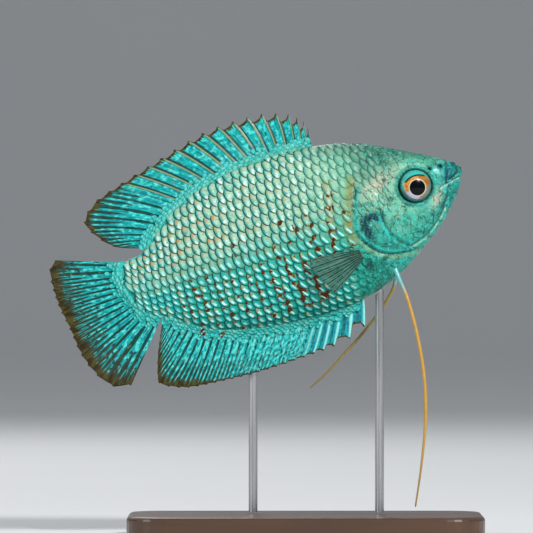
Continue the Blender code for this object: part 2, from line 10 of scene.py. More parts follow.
import bmesh
import bpy
import numpy as np
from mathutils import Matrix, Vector


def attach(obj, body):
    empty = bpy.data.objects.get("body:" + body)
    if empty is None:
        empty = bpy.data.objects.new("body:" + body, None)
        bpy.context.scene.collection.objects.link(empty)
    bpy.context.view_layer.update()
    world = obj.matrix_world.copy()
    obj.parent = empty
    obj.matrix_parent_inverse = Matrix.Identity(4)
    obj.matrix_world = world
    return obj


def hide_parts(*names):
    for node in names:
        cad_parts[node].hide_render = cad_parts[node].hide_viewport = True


MM = 0.001
PITCH = math.radians(20)
SNOUT_X = 28.0
SNOUT_Z = 64.7

# The body, tail to snout: x, back, belly, half width, height of the widest point, and the power of
# the superellipse that the section follows.
BODY = (
    (-63.9, 4.6, 1.4, 0.35, 3.0, 2.0),
    (-63.5, 5.7, -0.2, 0.6, 2.6, 2.0),
    (-62.7, 6.25, -2.2, 0.8, 1.8, 2.0),
    (-61.0, 6.6, -4.5, 1.15, 1.1, 2.0),
    (-59.0, 6.75, -5.4, 1.55, 0.9, 2.0),
    (-57.0, 7.7, -6.6, 1.9, 0.8, 2.0),
    (-55.0, 9.4, -8.2, 2.25, 0.7, 2.0),
    (-52.0, 11.5, -10.2, 2.75, 0.5, 2.0),
    (-48.0, 13.3, -11.9, 3.35, 0.2, 2.0),
    (-44.0, 14.4, -13.0, 3.9, -0.2, 2.0),
    (-40.0, 15.0, -13.8, 4.35, -0.6, 2.0),
    (-36.0, 15.3, -14.4, 4.75, -1.0, 2.0),
    (-32.0, 15.3, -14.8, 5.05, -1.5, 2.05),
    (-28.0, 15.1, -15.0, 5.3, -1.8, 2.1),
    (-24.0, 14.65, -14.85, 5.4, -1.8, 2.1),
    (-21.0, 14.0, -14.3, 5.4, -1.6, 2.1),
    (-18.0, 13.15, -13.45, 5.3, -1.2, 2.1),
    (-15.0, 12.05, -12.3, 5.1, -0.8, 2.1),
    (-12.0, 10.45, -10.65, 4.75, -0.3, 2.15),
    (-10.0, 9.3, -9.45, 4.45, 0.0, 2.2),
    (-8.0, 8.1, -8.25, 4.05, 0.3, 2.25),
    (-6.0, 6.9, -6.8, 3.55, 0.6, 2.25),
    (-4.0, 5.7, -5.1, 2.95, 0.8, 2.2),
    (-3.0, 5.1, -4.1, 2.55, 0.9, 2.2),
    (-2.0, 4.3, -3.1, 2.1, 1.0, 2.15),
    (-1.2, 3.65, -2.2, 1.65, 1.1, 2.1),
    (-0.5, 3.0, -1.2, 1.15, 1.1, 2.0),
    (0.0, 2.4, -0.2, 0.75, 1.1, 2.0),
    (0.3, 1.9, 0.5, 0.4, 1.2, 2.0),
)
SIDES = {-1: "right", 1: "left"}
COAT_DEPTH = 0.15  # the skin lies this far under the solid body, for the scales to fill
TRUNK_STEP = 0.36
HEAD_STEP = 0.12
HEAD_END_X = -21.5
RELIEF_END_X = -24.0
RING_STEPS = 280
NOSE_ROUND = 0.25  # how far the rounded ends of the body reach past its last sections
NOSE_STEPS = 6

GILL_EDGE = (
    (-18.3, 4.4), (-19.6, 2.0), (-20.7, -0.8), (-20.95, -2.7), (-20.3, -4.7),
    (-19.0, -6.7), (-17.0, -8.2), (-14.6, -8.9), (-12.4, -9.2),
)
COVER_FRONT = (
    (-18.3, 4.4), (-17.1, 3.8), (-16.3, 2.2), (-15.9, 0.0), (-15.9, -3.2), (-15.4, -5.6),
    (-14.3, -7.2), (-13.0, -8.4), (-12.4, -9.2),
)
MOUTH_LINE = ((0.9, 2.9), (-0.2, 2.25), (-0.5, 1.25), (-1.3, 0.75), (-2.3, 0.35))
UPPER_LIP = ((0.3, 3.3), (-0.35, 2.85), (-0.6, 2.4), (-1.2, 1.9), (-1.85, 1.3), (-2.3, 0.9))
LOWER_LIP = ((0.6, 1.9), (0.02, 1.5), (-0.2, 1.0), (-0.9, 0.3), (-1.6, -0.05), (-2.3, -0.3))
LIP_GROOVE = ((-1.3, 3.9), (-1.75, 3.1), (-2.2, 2.0), (-2.6, 1.0), (-2.8, 0.2), (-2.6, -0.8))
CHIN_CREASE = ((0.2, -0.2), (-1.0, -0.65), (-2.0, -0.95), (-2.8, -1.3))
JAW_CREASE = (
    (-2.7, -1.1), (-3.9, -3.0), (-5.3, -4.8), (-6.5, -5.9), (-8.0, -6.9), (-10.0, -8.0), (-12.5, -8.6),
)
CHEEK_EDGE = (
    (-17.8, 3.9), (-16.6, 3.6), (-15.8, 2.2), (-15.4, 0.0), (-15.4, -3.0), (-14.9, -5.4),
    (-13.8, -7.0), (-12.4, -8.0),
)
EYE_AT = (-8.38, 2.75, 1.27)
EYE_RADII = (3.0, 2.0, 3.0)
EYE_YAW = math.radians(12)
PUPIL_AT = (-8.12, 0.88)
GILL_BAND = ((-18.8, 6.4), (-20.2, 3.6), (-21.5, 0.6), (-22.3, -2.2), (-22.2, -4.4))
RUST_LINE = ((-23.4, 7.4), (-23.9, 4.2), (-24.6, 1.0), (-25.3, -2.0))
INK_ARCH = ((-19.1, -4.2), (-19.3, -2.8), (-19.2, -1.6), (-18.2, -1.2), (-17.1, -1.4), (-16.4, -2.1))
JAW_LIGHT = ((-0.3, 0.0), (-1.4, -0.12), (-2.8, -0.4), (-4.3, -0.75))
# The head's creases and ridges: the line, how far from it, the half width, and the height.
HEAD_FORMS = (
    (GILL_EDGE, -0.35, 0.35, -0.28), (COVER_FRONT, 0.0, 0.22, -0.1), (CHEEK_EDGE, 0.0, 0.35, 0.16),
    (UPPER_LIP, 0.0, 0.5, 0.26), (LOWER_LIP, 0.0, 0.42, 0.24), (MOUTH_LINE, 0.0, 0.12, -0.34),
    (LIP_GROOVE, 0.0, 0.2, -0.2), (CHIN_CREASE, 0.0, 0.22, -0.16), (JAW_LIGHT, -0.25, 0.16, -0.08),
    (JAW_LIGHT, 0.05, 0.14, 0.05), (JAW_CREASE, 0.0, 0.22, -0.14), (JAW_CREASE, 0.5, 0.4, 0.1),
)
BARS_X = (-24.9, -28.3, -31.6, -34.9, -38.2, -41.5, -44.7, -47.9, -51.0, -54.0)
DARK_DOTS = (
    (-11.1, 3.9, 0.35), (-13.4, 4.1, 0.4), (-14.9, 5.4, 0.4), (-16.6, 6.4, 0.4), (-15.2, 8.3, 0.4),
    (-12.2, 8.4, 0.3), (-8.4, 5.1, 0.22), (-13.3, 0.8, 0.5), (-13.3, -3.3, 0.3), (-17.0, -6.5, 0.3),
    (-18.8, -5.7, 0.25), (-7.2, -4.6, 0.35), (-2.9, -2.9, 0.3), (-24.0, -1.8, 0.5), (-21.0, -9.3, 0.9),
)
RUST_DOTS = (
    (-22.4, 1.8), (-25.0, -0.6), (-25.6, -2.4), (-22.6, -4.8), (-23.4, 4.8), (-24.2, 2.6), (-26.1, -4.2),
    (-28.6, 1.4), (-31.5, 1.3), (-33.5, 3.5), (-42.6, 2.6),
)
NOSTRILS = ((-2.95, 3.1, 0.34), (-4.9, 3.3, 0.3))

# Colours are linear.
PALE_MINT = (0.24, 0.52, 0.35)
GREY_MINT = (0.09, 0.40, 0.26)
CREAM = (0.56, 0.80, 0.56)
TURQUOISE = (0.007, 0.35, 0.25)
BRIGHT_TURQUOISE = (0.03, 0.52, 0.46)
CHEEK_TURQUOISE = (0.025, 0.32, 0.25)
SNOUT_CYAN = (0.008, 0.31, 0.29)
CROWN_GREEN = (0.06, 0.22, 0.14)
SCALE_BLUE = (0.02, 0.38, 0.38)
SEA_GREEN = (0.008, 0.17, 0.12)
DEEP_TEAL = (0.003, 0.06, 0.045)
INK_BLUE = (0.006, 0.022, 0.035)
LIP_BLUE = (0.004, 0.09, 0.13)
OLIVE = (0.24, 0.30, 0.06)
RED_BROWN = (0.075, 0.023, 0.003)
RUST = (0.32, 0.12, 0.01)
ORANGE = (0.60, 0.27, 0.05)
BEIGE = (0.54, 0.48, 0.33)
# A white-cyan for painted glints.
ICE_GLINT = (0.40, 0.92, 0.86)
FIN_BLUE = (0.003, 0.19, 0.22)
FIN_CYAN = (0.008, 0.44, 0.42)
FIN_LIGHT = (0.10, 0.74, 0.68)
FIN_DARK = (0.004, 0.025, 0.02)
DARK_BROWN = (0.03, 0.02, 0.005)
OLIVE_BROWN = (0.075, 0.062, 0.015)
SPINE_OLIVE = (0.25, 0.31, 0.14)
FIN_PALE = (0.34, 0.78, 0.60)
FIN_OLIVE = (0.22, 0.20, 0.03)
PANEL_BLUE = (0.003, 0.17, 0.25)
PANEL_CYAN = (0.005, 0.38, 0.42)
SPIKE_WHITE = (0.30, 0.82, 0.74)
INKY_GLINT = (0.01, 0.10, 0.17)
# The next three colours are painted highlights on the scales.
PEARL_HIGHLIGHT = (0.76, 0.96, 0.88)
GLEAM_BLUE = (0.01, 0.50, 0.50)
GLEAM_WHITE = (0.60, 0.97, 0.90)
OCHRE = (0.50, 0.48, 0.16)
NAPE_GREY = (0.05, 0.13, 0.09)
GILL_PALE = (0.17, 0.33, 0.17)
WET = {"Specular_IOR_Level": 0.14, "Coat_Weight": 0.05, "Coat_Roughness": 0.08}
# Soft patches of the cheek and nape: colour, how much it covers, middle, half sizes and turn.
CHEEK_PATCHES = (
    (PALE_MINT, 0.9, (-15.0, 1.8), (4.2, 3.2), 0.35), (PALE_MINT, 0.75, (-12.4, -2.0), (3.6, 1.7)),
    (GREY_MINT, 0.7, (-12.0, -4.4), (3.6, 1.8)), (BEIGE, 0.9, (-14.8, 3.8), (4.0, 1.5), 0.35),
)

DORSAL = {
    "rays": 25, "notch": (2.4, 0.3), "notch_fade": 6.5, "bow": 0.055, "sway": 0.5, "soft": 16, "twice": 0,
    "corner": 18, "spikes": 0.0,
    "guides": (
        (0, -23.7, 13.2, -22.9, 17.8), (1, -24.5, 13.4, -23.2, 19.1), (3, -26.8, 13.6, -25.3, 21.3),
        (5, -29.6, 13.8, -29.8, 23.0), (7, -32.8, 13.9, -35.2, 23.5), (9, -36.3, 13.9, -41.0, 23.4),
        (12, -42.0, 13.0, -49.6, 21.7), (15, -47.4, 11.6, -57.8, 19.9), (17, -50.2, 10.4, -62.9, 18.6),
        (18, -51.5, 9.7, -65.3, 17.2), (19, -52.6, 9.0, -66.6, 15.6), (20, -53.5, 8.4, -66.1, 13.5),
        (22, -55.0, 7.4, -63.2, 9.7), (24, -56.0, 6.8, -58.4, 7.5),
    ),
}
ANAL = {
    "rays": 28, "notch": (2.1, 0.25), "notch_fade": 1.8, "bow": 0.05, "sway": 0.4, "soft": 15, "twice": 0,
    "corner": 20.5, "spikes": 7.0,
    "guides": (
        (0, -23.6, -13.3, -25.5, -19.5), (1, -26.2, -13.6, -28.7, -20.5), (2, -28.1, -13.7, -31.9, -20.9),
        (5, -32.6, -13.4, -37.6, -20.9), (10, -40.2, -12.3, -46.2, -20.6), (14, -46.0, -10.8, -52.6, -19.9),
        (18, -50.6, -9.0, -59.0, -18.9), (20, -52.4, -8.1, -62.3, -17.5), (21, -53.3, -7.5, -63.8, -16.3),
        (22, -54.2, -6.9, -63.5, -14.6), (24, -56.0, -5.6, -62.2, -11.3), (27, -58.2, -4.0, -59.9, -6.9),
    ),
}
TAIL_FIN = {
    "rays": 16, "notch": (0.3, 0.3), "notch_fade": 1.0, "bow": 0.0, "sway": 1.1, "soft": 0, "twice": 1,
    "corner": 8, "spikes": 0.0,
    "guides": (
        (0, -61.6, 6.0, -73.8, 10.9), (1, -61.9, 5.0, -75.3, 9.8), (2, -62.1, 4.1, -75.9, 7.6),
        (5, -62.2, 1.8, -76.1, 3.2), (8, -61.7, -0.3, -75.6, -1.6), (11, -60.9, -2.2, -75.2, -6.8),
        (13, -59.9, -3.4, -73.8, -11.2), (14, -59.3, -4.1, -71.8, -14.0), (15, -58.6, -4.6, -68.7, -15.0),
    ),
}
PECTORAL = {
    "rays": 10, "notch": (0.12, 0.12), "notch_fade": 1.0, "bow": 0.03, "sway": 0.0, "soft": 0, "twice": 0,
    "guides": (
        (0, -21.3, -6.2, -30.2, -4.6), (2, -21.3, -6.6, -31.1, -5.8), (5, -21.4, -7.1, -30.0, -8.6),
        (7, -21.5, -7.5, -29.3, -10.4), (9, -21.7, -7.9, -28.6, -12.1),
    ),
}
# For each fin, in millimetres: how far the brown margin reaches, and how much further at the corner.
# Then, as shares: the brown between the rays, how pale the spines are, and how light the panels.
FIN_TONES = (
    ("dorsal", DORSAL, 0.6, 0.7, 0.4, 0.95, 0.3),
    ("anal", ANAL, 0.4, 1.5, 0.6, 0.0, 0.7),
    ("tail", TAIL_FIN, 2.2, 0.0, 1.0, 0.0, 0.2),
)
RAY_COLUMNS = 10  # columns of a fin's mesh from one ray to the next
FIN_ROWS = 44
SWAY_WAVES = 1.1
SWAY_PHASE = 0.4
MEMBRANE_HALF = 0.1
RAY_RISE = 0.2
ROOT_SWELL = 0.22
FORK = (0.3, 0.7)  # a soft ray splits over this share of its length
SECOND_FORK = (0.6, 0.95)

NEAR_FEELER = (
    (-16.9, 2.0, -10.9), (-16.75, 2.6, -13.6), (-16.6, 3.1, -17.4), (-17.2, 3.7, -24.0),
    (-18.6, 4.1, -31.4), (-21.0, 4.4, -38.7), (-24.4, 4.5, -46.0), (-28.1, 4.5, -52.9),
)
FAR_FEELER = (
    (-16.9, 2.0, -11.2), (-17.6, 2.7, -13.8), (-19.4, 3.4, -15.8), (-22.4, 4.2, -18.1),
    (-26.4, 5.0, -20.6), (-30.4, 5.7, -22.7), (-34.4, 6.1, -24.8), (-38.6, 6.5, -26.6),
)

# Scales stand in rows along the body. For each x: their pitch in a row, and the rows' spacing as a
# share of what it is at the middle of the body.
SCALE_PITCH = (
    (-64.0, 1.1, 0.72), (-58.0, 1.26, 0.82), (-52.0, 1.36, 0.92), (-44.0, 1.44, 1.0),
    (-30.0, 1.47, 1.0), (-20.0, 1.5, 1.0), (-16.0, 1.4, 0.92), (-8.0, 1.2, 0.8),
)
# For the rows above, below and at mid flank: offset, spacing, and each row's lead on the one below.
UPPER_ROWS = (0.25, 2.0, 0.3)
LOWER_ROWS = (0.5, 1.6, 0.1)
MIDDLE_ROW = (0.0, 2.1, 0.0)
SCALES_X = (-63.0, -7.0)
ROW_GUARD = 0.3  # no scale's middle comes nearer than this to the edge of the back or belly
SCALE_CELLS = 5
SCALE_LENGTH = 1.9  # in pitches
SCALE_WIDTH = 1.72  # in row spacings
SCALE_THICK = 0.05
FOOT_KEPT = (1.0, 1.0, 0.9, 0.6, 0.3)  # the share kept in each row of small scales on the fins' feet
FOOT_STEP = 0.55
FOOT_PITCH = 0.84
FLOOR_FLAT = 2.4  # metres from the middle to where the floor starts to curve up
WALL_BEND = 1.6
WALL_TOP = 3.2
LIGHT_AIM = (0, 0, 0.05)
CAMERA_AT = (-0.00701, -1.2, 0.04859)
LENS = 450.2


def ease(value, low, high):
    """Rises smoothly from 0 at low to 1 at high."""
    t = np.clip((value - low) / (high - low), 0.0, 1.0)
    return t * t * (3 - 2 * t)


def ridge(value, middle, width):
    return np.exp(-(((value - middle) / width) ** 2))


def unit(vectors):
    return vectors / np.maximum(np.linalg.norm(vectors, axis=-1, keepdims=True), 1e-9)


def run_along(path):
    """How far along a path each of its points lies."""
    return np.concatenate([[0.0], np.cumsum(np.linalg.norm(np.diff(path, axis=0), axis=1))])


def rows_at(rows, at):
    """A table's values at many keys, one column for each value, on smooth curves through its rows."""
    table = np.array(rows, float)
    keys, values = table[:, 0], table[:, 1:]
    last = len(keys) - 1
    at = np.asarray(at, float)
    i = np.clip(np.searchsorted(keys, at, side="right") - 1, 0, last - 1)
    before, after = np.maximum(i - 1, 0), np.minimum(i + 2, last)
    step = keys[i + 1] - keys[i]
    t = np.clip((at - keys[i]) / step, 0.0, 1.0)[..., None]
    step_in = (step / (keys[i + 1] - keys[before]))[..., None]
    step_out = (step / (keys[after] - keys[i]))[..., None]
    slope_in = (values[i + 1] - values[before]) * step_in
    slope_out = (values[after] - values[i]) * step_out
    found = values[i] * (2 * t**3 - 3 * t**2 + 1) + values[i + 1] * (3 * t**2 - 2 * t**3)
    found += slope_in * (t**3 - 2 * t**2 + t) + slope_out * (t**3 - t**2)
    return np.moveaxis(found, -1, 0)


def smooth_path(points, steps):
    rows = [(i, *p) for i, p in enumerate(points)]
    return rows_at(rows, np.linspace(0, len(points) - 1, steps + 1)).T


def from_line(x, z, points, steps=24):
    """Distance in the side view from a smooth line, above zero on its left."""
    line = smooth_path(points, steps)
    gap = np.full(np.shape(x), 1e9)
    signed = np.full(np.shape(x), 1e9)
    for (ax, az), (bx, bz) in zip(line, line[1:]):
        dx, dz = bx - ax, bz - az
        t = np.clip(((x - ax) * dx + (z - az) * dz) / (dx * dx + dz * dz), 0, 1)
        off = np.hypot(x - ax - t * dx, z - az - t * dz)
        side = np.where(dx * (z - az) - dz * (x - ax) >= 0, 1.0, -1.0)
        near = off < gap
        gap = np.where(near, off, gap)
        signed = np.where(near, off * side, signed)
    return signed


def blob(x, z, centre, size, turn=0.0):
    """A soft oval patch of the side view, 1 in its middle."""
    c, s = math.cos(turn), math.sin(turn)
    dx, dz = x - centre[0], z - centre[1]
    return np.exp(-(((dx * c + dz * s) / size[0]) ** 2) - ((dz * c - dx * s) / size[1]) ** 2)


def on_body(x):
    return np.clip(x, BODY[0][0], BODY[-1][0])


def on_breast(x, z):
    return ease(x, -25.5, -22.5) * ease(-z, 3.5, 5.5)


def body_at(x, turn, depth):
    """Points of the body's surface, sunk by a depth. The turn is 0 on the left flank, pi / 2 on the back."""
    back, belly, half, widest, power = rows_at(BODY, x)
    across, up = np.cos(turn), np.sin(turn)
    reach = np.where(up > 0, back - widest, widest - belly)
    y = np.sign(across) * np.abs(across) ** (2 / power) * np.maximum(half - depth, 0.05)
    z = widest + np.sign(up) * np.abs(up) ** (2 / power) * np.maximum(reach - depth, 0.05)
    return np.stack([x + 0 * y, y, z], axis=-1)


def body_normal(x, turn):
    small = 0.02
    x = np.clip(x, BODY[0][0] + 0.1, BODY[-1][0] - 0.1)
    along = body_at(x + small, turn, 0.0) - body_at(x - small, turn, 0.0)
    round_it = body_at(x, turn + small, 0.0) - body_at(x, turn - small, 0.0)
    return unit(np.cross(round_it, along))


def to_row(points):
    """Fish frame in millimetres to the row frame in metres."""
    c, s = math.cos(PITCH), math.sin(PITCH)
    x, y, z = points[..., 0], points[..., 1], points[..., 2]
    return np.stack([SNOUT_X + x * c - z * s, y, SNOUT_Z + x * s + z * c], axis=-1) * MM


def eye_distance(x, z):
    return np.hypot(x - EYE_AT[0], z - EYE_AT[2])


def head_relief(points):
    """How far the head's forms stand out of the plain body, in the side view."""
    x, z = points[..., 0], points[..., 2]
    cover = ease(from_line(x, z, GILL_EDGE), -0.12, 0.1)
    relief = 0.3 * cover * ease(-from_line(x, z, COVER_FRONT), -0.1, 0.25)
    for line, middle, width, height in HEAD_FORMS:
        relief += height * ridge(from_line(x, z, line), middle, width)
    for at_x, at_z, radius in NOSTRILS:
        off = np.hypot(x - at_x, z - at_z)
        relief += 0.14 * ridge(off, radius + 0.08, 0.14)
        relief -= 0.5 * ease(-off, -radius, -radius * 0.3)
    eye = eye_distance(x, z)
    relief += 0.2 * ridge(eye, 3.36, 0.2)
    relief -= 0.08 * ridge(eye, 3.8, 0.3)
    relief -= 1.5 * ease(-eye, -3.1, -2.85)
    return np.where(x > RELIEF_END_X, relief, 0.0)


def paint(points):
    """The markings' colour in the side view, for skin and scales alike, with painted shade in the head's
    creases, slits and eye socket and painted highlights along the jaw.
    """
    x, z = points[..., 0], points[..., 2]
    back, belly, *_ = rows_at(BODY, on_body(x))
    height = np.clip((z - belly) / (back - belly), 0, 1)
    colour = np.broadcast_to(np.array(TURQUOISE), (*np.shape(x), 3)).copy()
    gill = from_line(x, z, GILL_EDGE)
    eye = eye_distance(x, z)

    def lay(tint, mask):
        mask = np.clip(mask, 0, 1)[..., None]
        colour[:] = colour * (1 - mask) + np.array(tint) * mask

    def by(line, middle, width):
        return ridge(from_line(x, z, line), middle, width)

    lay(GREY_MINT, ease(height, 0.18, 0.55) * 0.9)
    lay(PALE_MINT, ease(height, 0.4, 0.72) * ease(-x, 14, 26) * ease(x, -60, -48))
    lay(GREY_MINT, ease(height, 0.86, 1.0) * ease(x, -40, -24) * 0.6)
    lay(BRIGHT_TURQUOISE, ease(-x, 50, 60) * 0.5)
    lay(SEA_GREEN, ease(-height, -0.14, 0.0) * 0.6)
    lay(SEA_GREEN, blob(x, z, (-17.0, -10.5), (6.0, 4.0)) * 0.9)
    lay(BRIGHT_TURQUOISE, ease(height, 0.84, 0.98) * ease(-x, 30, 40) * 0.6)
    lay(OLIVE, by(GILL_BAND, 0.0, 0.85) * 0.9)
    lay(OLIVE, by(RUST_LINE, 0.0, 0.7) * 0.8)
    rusty = np.maximum(by(RUST_LINE, 0.0, 0.3), by(GILL_BAND, 0.3, 0.3))
    lay(RUST, rusty * (0.5 + 0.3 * np.sin(z * 4.0)))
    lay(OLIVE, blob(x, z, (-29.0, 3.0), (0.7, 3.0)) * 0.7)
    head = np.maximum(ease(gill, -0.2, 0.1) * (x > HEAD_END_X), ease(x, -18.5, -17.0))
    lay(GREY_MINT, head * ease(z, -6, 0))
    lay(CHEEK_TURQUOISE, head * ease(-z, 0, 5))
    lay(CROWN_GREEN, head * ease(z - 0.35 * x, 8.0, 11.5) * 0.9)
    lay(NAPE_GREY, ease(height, 0.86, 0.98) * ease(x, -32, -18) * 0.8)
    for tint, cover, *shape in CHEEK_PATCHES:
        lay(tint, blob(x, z, *shape) * cover)
    lay(SNOUT_CYAN, ease(x, -6.5, -3.0) * ease(-z, -4.5, -3.0) * 0.8)
    lay(BEIGE, blob(x, z, (-5.7, -2.0), (1.6, 1.0), 0.6))
    lay(LIP_BLUE, by(UPPER_LIP, 0.0, 0.75) * (x > -3.2) * 0.95)
    lay(SEA_GREEN, by(LOWER_LIP, -0.3, 0.5) * 0.6)
    lay(SEA_GREEN, ease(x, -5.5, -2.5) * ease(-z, 0.5, 2.0) * 0.7)
    lay(INK_BLUE, blob(x, z, (-4.7, -3.4), (1.6, 0.4), 0.75) * 0.8)
    lay(SEA_GREEN, ridge(gill, 0.9, 0.8) * (x < -12) * ease(-z, 3.5, 5.5) * 0.7)
    lay(GILL_PALE, ridge(gill, -0.8, 0.4) * (x < -10.5) * ease(-z, 2.5, 4.5) * 0.85)
    uneven = 1.15 + 0.5 * np.sin(x * 7.0 + z * 3.0) * np.sin(z * 8.0)
    lay(INK_BLUE, by(INK_ARCH, 0.0, 0.9) * uneven)
    # Painted shade in the groove along the front of the gill cover.
    lay(DEEP_TEAL, by(COVER_FRONT, 0.0, 0.2) * ease(-z, -1.0, 1.0) * 0.8)
    lay(BRIGHT_TURQUOISE, by(COVER_FRONT, -0.45, 0.25) * ease(-z, 0.0, 2.0) * 0.8)
    for *dot, size in DARK_DOTS:
        lay(INK_BLUE, blob(x, z, dot, (size, size)) * 0.95)
    lay(RED_BROWN, blob(x, z, (-13.8, 0.6), (0.4, 0.45)) * 0.8)
    # Painted shade in the slit of the mouth and in the groove behind the upper lip.
    lay(DEEP_TEAL, by(MOUTH_LINE, 0.0, 0.22) * 0.95)
    lay(INK_BLUE, by(LIP_GROOVE, 0.0, 0.18) * 0.85)
    # Painted shade inside each nostril.
    for at_x, at_z, radius in NOSTRILS:
        lay(INK_BLUE, ridge(np.hypot(x - at_x, z - at_z), radius * 0.8, 0.22))
    lay(INK_BLUE, blob(x, z, (-3.95, 3.65), (0.55, 0.13), -0.2) * 0.9)
    lay(BRIGHT_TURQUOISE, ridge(gill, 0.15, 0.3) * (x < -12) * 0.9)
    # Painted shade in the gill slit behind the cover's edge.
    lay(INK_BLUE, ridge(gill, -0.25, 0.2) * (x < -12) * ease(z, -0.5, 0.5) * 0.95)
    lay(DEEP_TEAL, ridge(gill, -0.3, 0.2) * (x < -12) * ease(-z, 0.5, 2.0) * 0.7)
    # Painted shade in the jaw's crease, and a painted highlight on the rise beside it.
    lay(DEEP_TEAL, by(JAW_CREASE, -0.15, 0.14) * 0.8)
    lay(CREAM, by(JAW_CREASE, 0.2, 0.11) * (x < -4.5) * (0.5 + 0.3 * np.sin(x * 5.0)))
    # Painted highlight along the ridge of the jaw, and painted shade in the groove beside it.
    lay(CREAM, by(JAW_LIGHT, 0.0, 0.1) * (0.6 + 0.25 * np.sin(x * 6.0)))
    lay(DEEP_TEAL, by(JAW_LIGHT, -0.28, 0.13) * 0.8)
    lay(CHEEK_TURQUOISE, ridge(eye, 3.4, 0.35) * 0.9)
    # Painted shade: a dark ring where the skin meets the eye in its socket.
    lay(DEEP_TEAL, ridge(eye, 3.05, 0.2))
    return colour


def spot_bars(points):
    """Where the slanting red-brown bars of spots lie, 0 to 1."""
    x, z = points[..., 0], points[..., 2]
    bars = np.zeros_like(x)
    for bar_x in BARS_X:
        lean = bar_x - 0.2 * (z + 6) + 0.35 * np.sin(z * 2.1 + bar_x)
        bars = np.maximum(bars, ridge(x, lean, 0.72))
    reach = ease(-z, -4.5, 5.5) * ease(z, -13.2, -12.0) * ease(0.5 * z - x, 22.8, 23.6)
    dense = 0.78 + 0.5 * blob(x, z, (-31.0, -9.5), (8.0, 5.0))
    spots = np.maximum(bars * reach * dense, 0.75 * blob(x, z, (-28.6, 1.2), (0.5, 3.0)))
    for dot in RUST_DOTS:
        spots = np.maximum(spots, 1.1 * blob(x, z, dot, (0.55, 0.85)))
    return spots


def new_mesh(name, bm):
    mesh = bpy.data.meshes.new(name)
    bm.to_mesh(mesh)
    bm.free()
    return mesh


def add_object(name, data):
    made = bpy.data.objects.new(name, data)
    bpy.context.scene.collection.objects.link(made)
    return made


def flat_grid(name, columns, rows, thick=False):
    """A grid mesh, and the column, row and layer of each of its vertices."""
    bm = bmesh.new()
    bmesh.ops.create_grid(bm, x_segments=columns, y_segments=rows, size=0.5)
    if thick:
        grown = bmesh.ops.extrude_face_region(bm, geom=bm.faces[:])
        raised = [v for v in grown["geom"] if isinstance(v, bmesh.types.BMVert)]
        bmesh.ops.translate(bm, verts=raised, vec=(0, 0, 1))
    mesh = new_mesh(name, bm)
    flat = read_points(mesh)
    column = np.rint((flat[:, 0] + 0.5) * columns).astype(int)
    row = np.rint((flat[:, 1] + 0.5) * rows).astype(int)
    layer = np.where(flat[:, 2] > 0.5, 1.0, -1.0)
    return mesh, column, row, layer


def read_points(mesh):
    flat = np.empty(len(mesh.vertices) * 3)
    mesh.vertices.foreach_get("co", flat)
    return flat.reshape(-1, 3)


def set_points(mesh, points):
    mesh.vertices.foreach_set("co", to_row(points).astype(np.float32).ravel())
    mesh.update()


def set_value(mesh, name, values):
    layer = mesh.attributes.new(name, "FLOAT", "POINT")
    layer.data.foreach_set("value", np.asarray(values, np.float32).ravel())


def set_colour(mesh, name, values):
    layer = mesh.attributes.new(name, "FLOAT_COLOR", "POINT")
    full = np.concatenate([values, np.ones((len(values), 1))], axis=1)
    layer.data.foreach_set("color", full.astype(np.float32).ravel())


def set_map(mesh, name, values):
    """A UV map from a value pair for each vertex."""
    layer = mesh.uv_layers.new(name=name)
    corners = np.empty(len(mesh.loops), np.int32)
    mesh.loops.foreach_get("vertex_index", corners)
    layer.uv.foreach_set("vector", values[corners].astype(np.float32).ravel())


def piece(name, mesh, look, slot, *nodes, weld=True):
    """Closes a mesh's seams, turns its faces outwards and makes it a piece that stands for CAD nodes."""
    bm = bmesh.new()
    bm.from_mesh(mesh)
    if weld:
        bmesh.ops.remove_doubles(bm, verts=bm.verts, dist=1e-7)
        bmesh.ops.dissolve_degenerate(bm, edges=bm.edges, dist=1e-8)
    bmesh.ops.recalc_face_normals(bm, faces=bm.faces)
    bm.to_mesh(mesh)
    bm.free()
    mesh.materials.append(look)
    mesh.shade_smooth()
    made = add_object(name, mesh)
    if nodes:
        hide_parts(*nodes)
    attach(made, "root")


def operator(kind, turned=False):
    """A method of a shader socket that adds one Math node."""

    def method(self, other=0.0):
        first, second = (other, self) if turned else (self, other)
        return self.look.math(kind, first, second)

    return method


class Value:
    """A shader socket that takes part in sums."""

    def __init__(self, look, socket):
        self.look = look
        self.socket = socket

    __add__ = __radd__ = operator("ADD")
    __sub__ = operator("SUBTRACT")
    __rsub__ = operator("SUBTRACT", turned=True)
    __mul__ = __rmul__ = operator("MULTIPLY")
    __abs__ = operator("ABSOLUTE")
    most = operator("MAXIMUM")

    def smooth(self, low, high, to_low=0.0, to_high=1.0):
        """Goes smoothly from to_low to to_high while the value goes from low to high."""
        ends = {"From Min": low, "From Max": high, "To Min": to_low, "To Max": to_high}
        return self.look.node("MapRange", {"Value": self, **ends}, interpolation_type="SMOOTHSTEP")


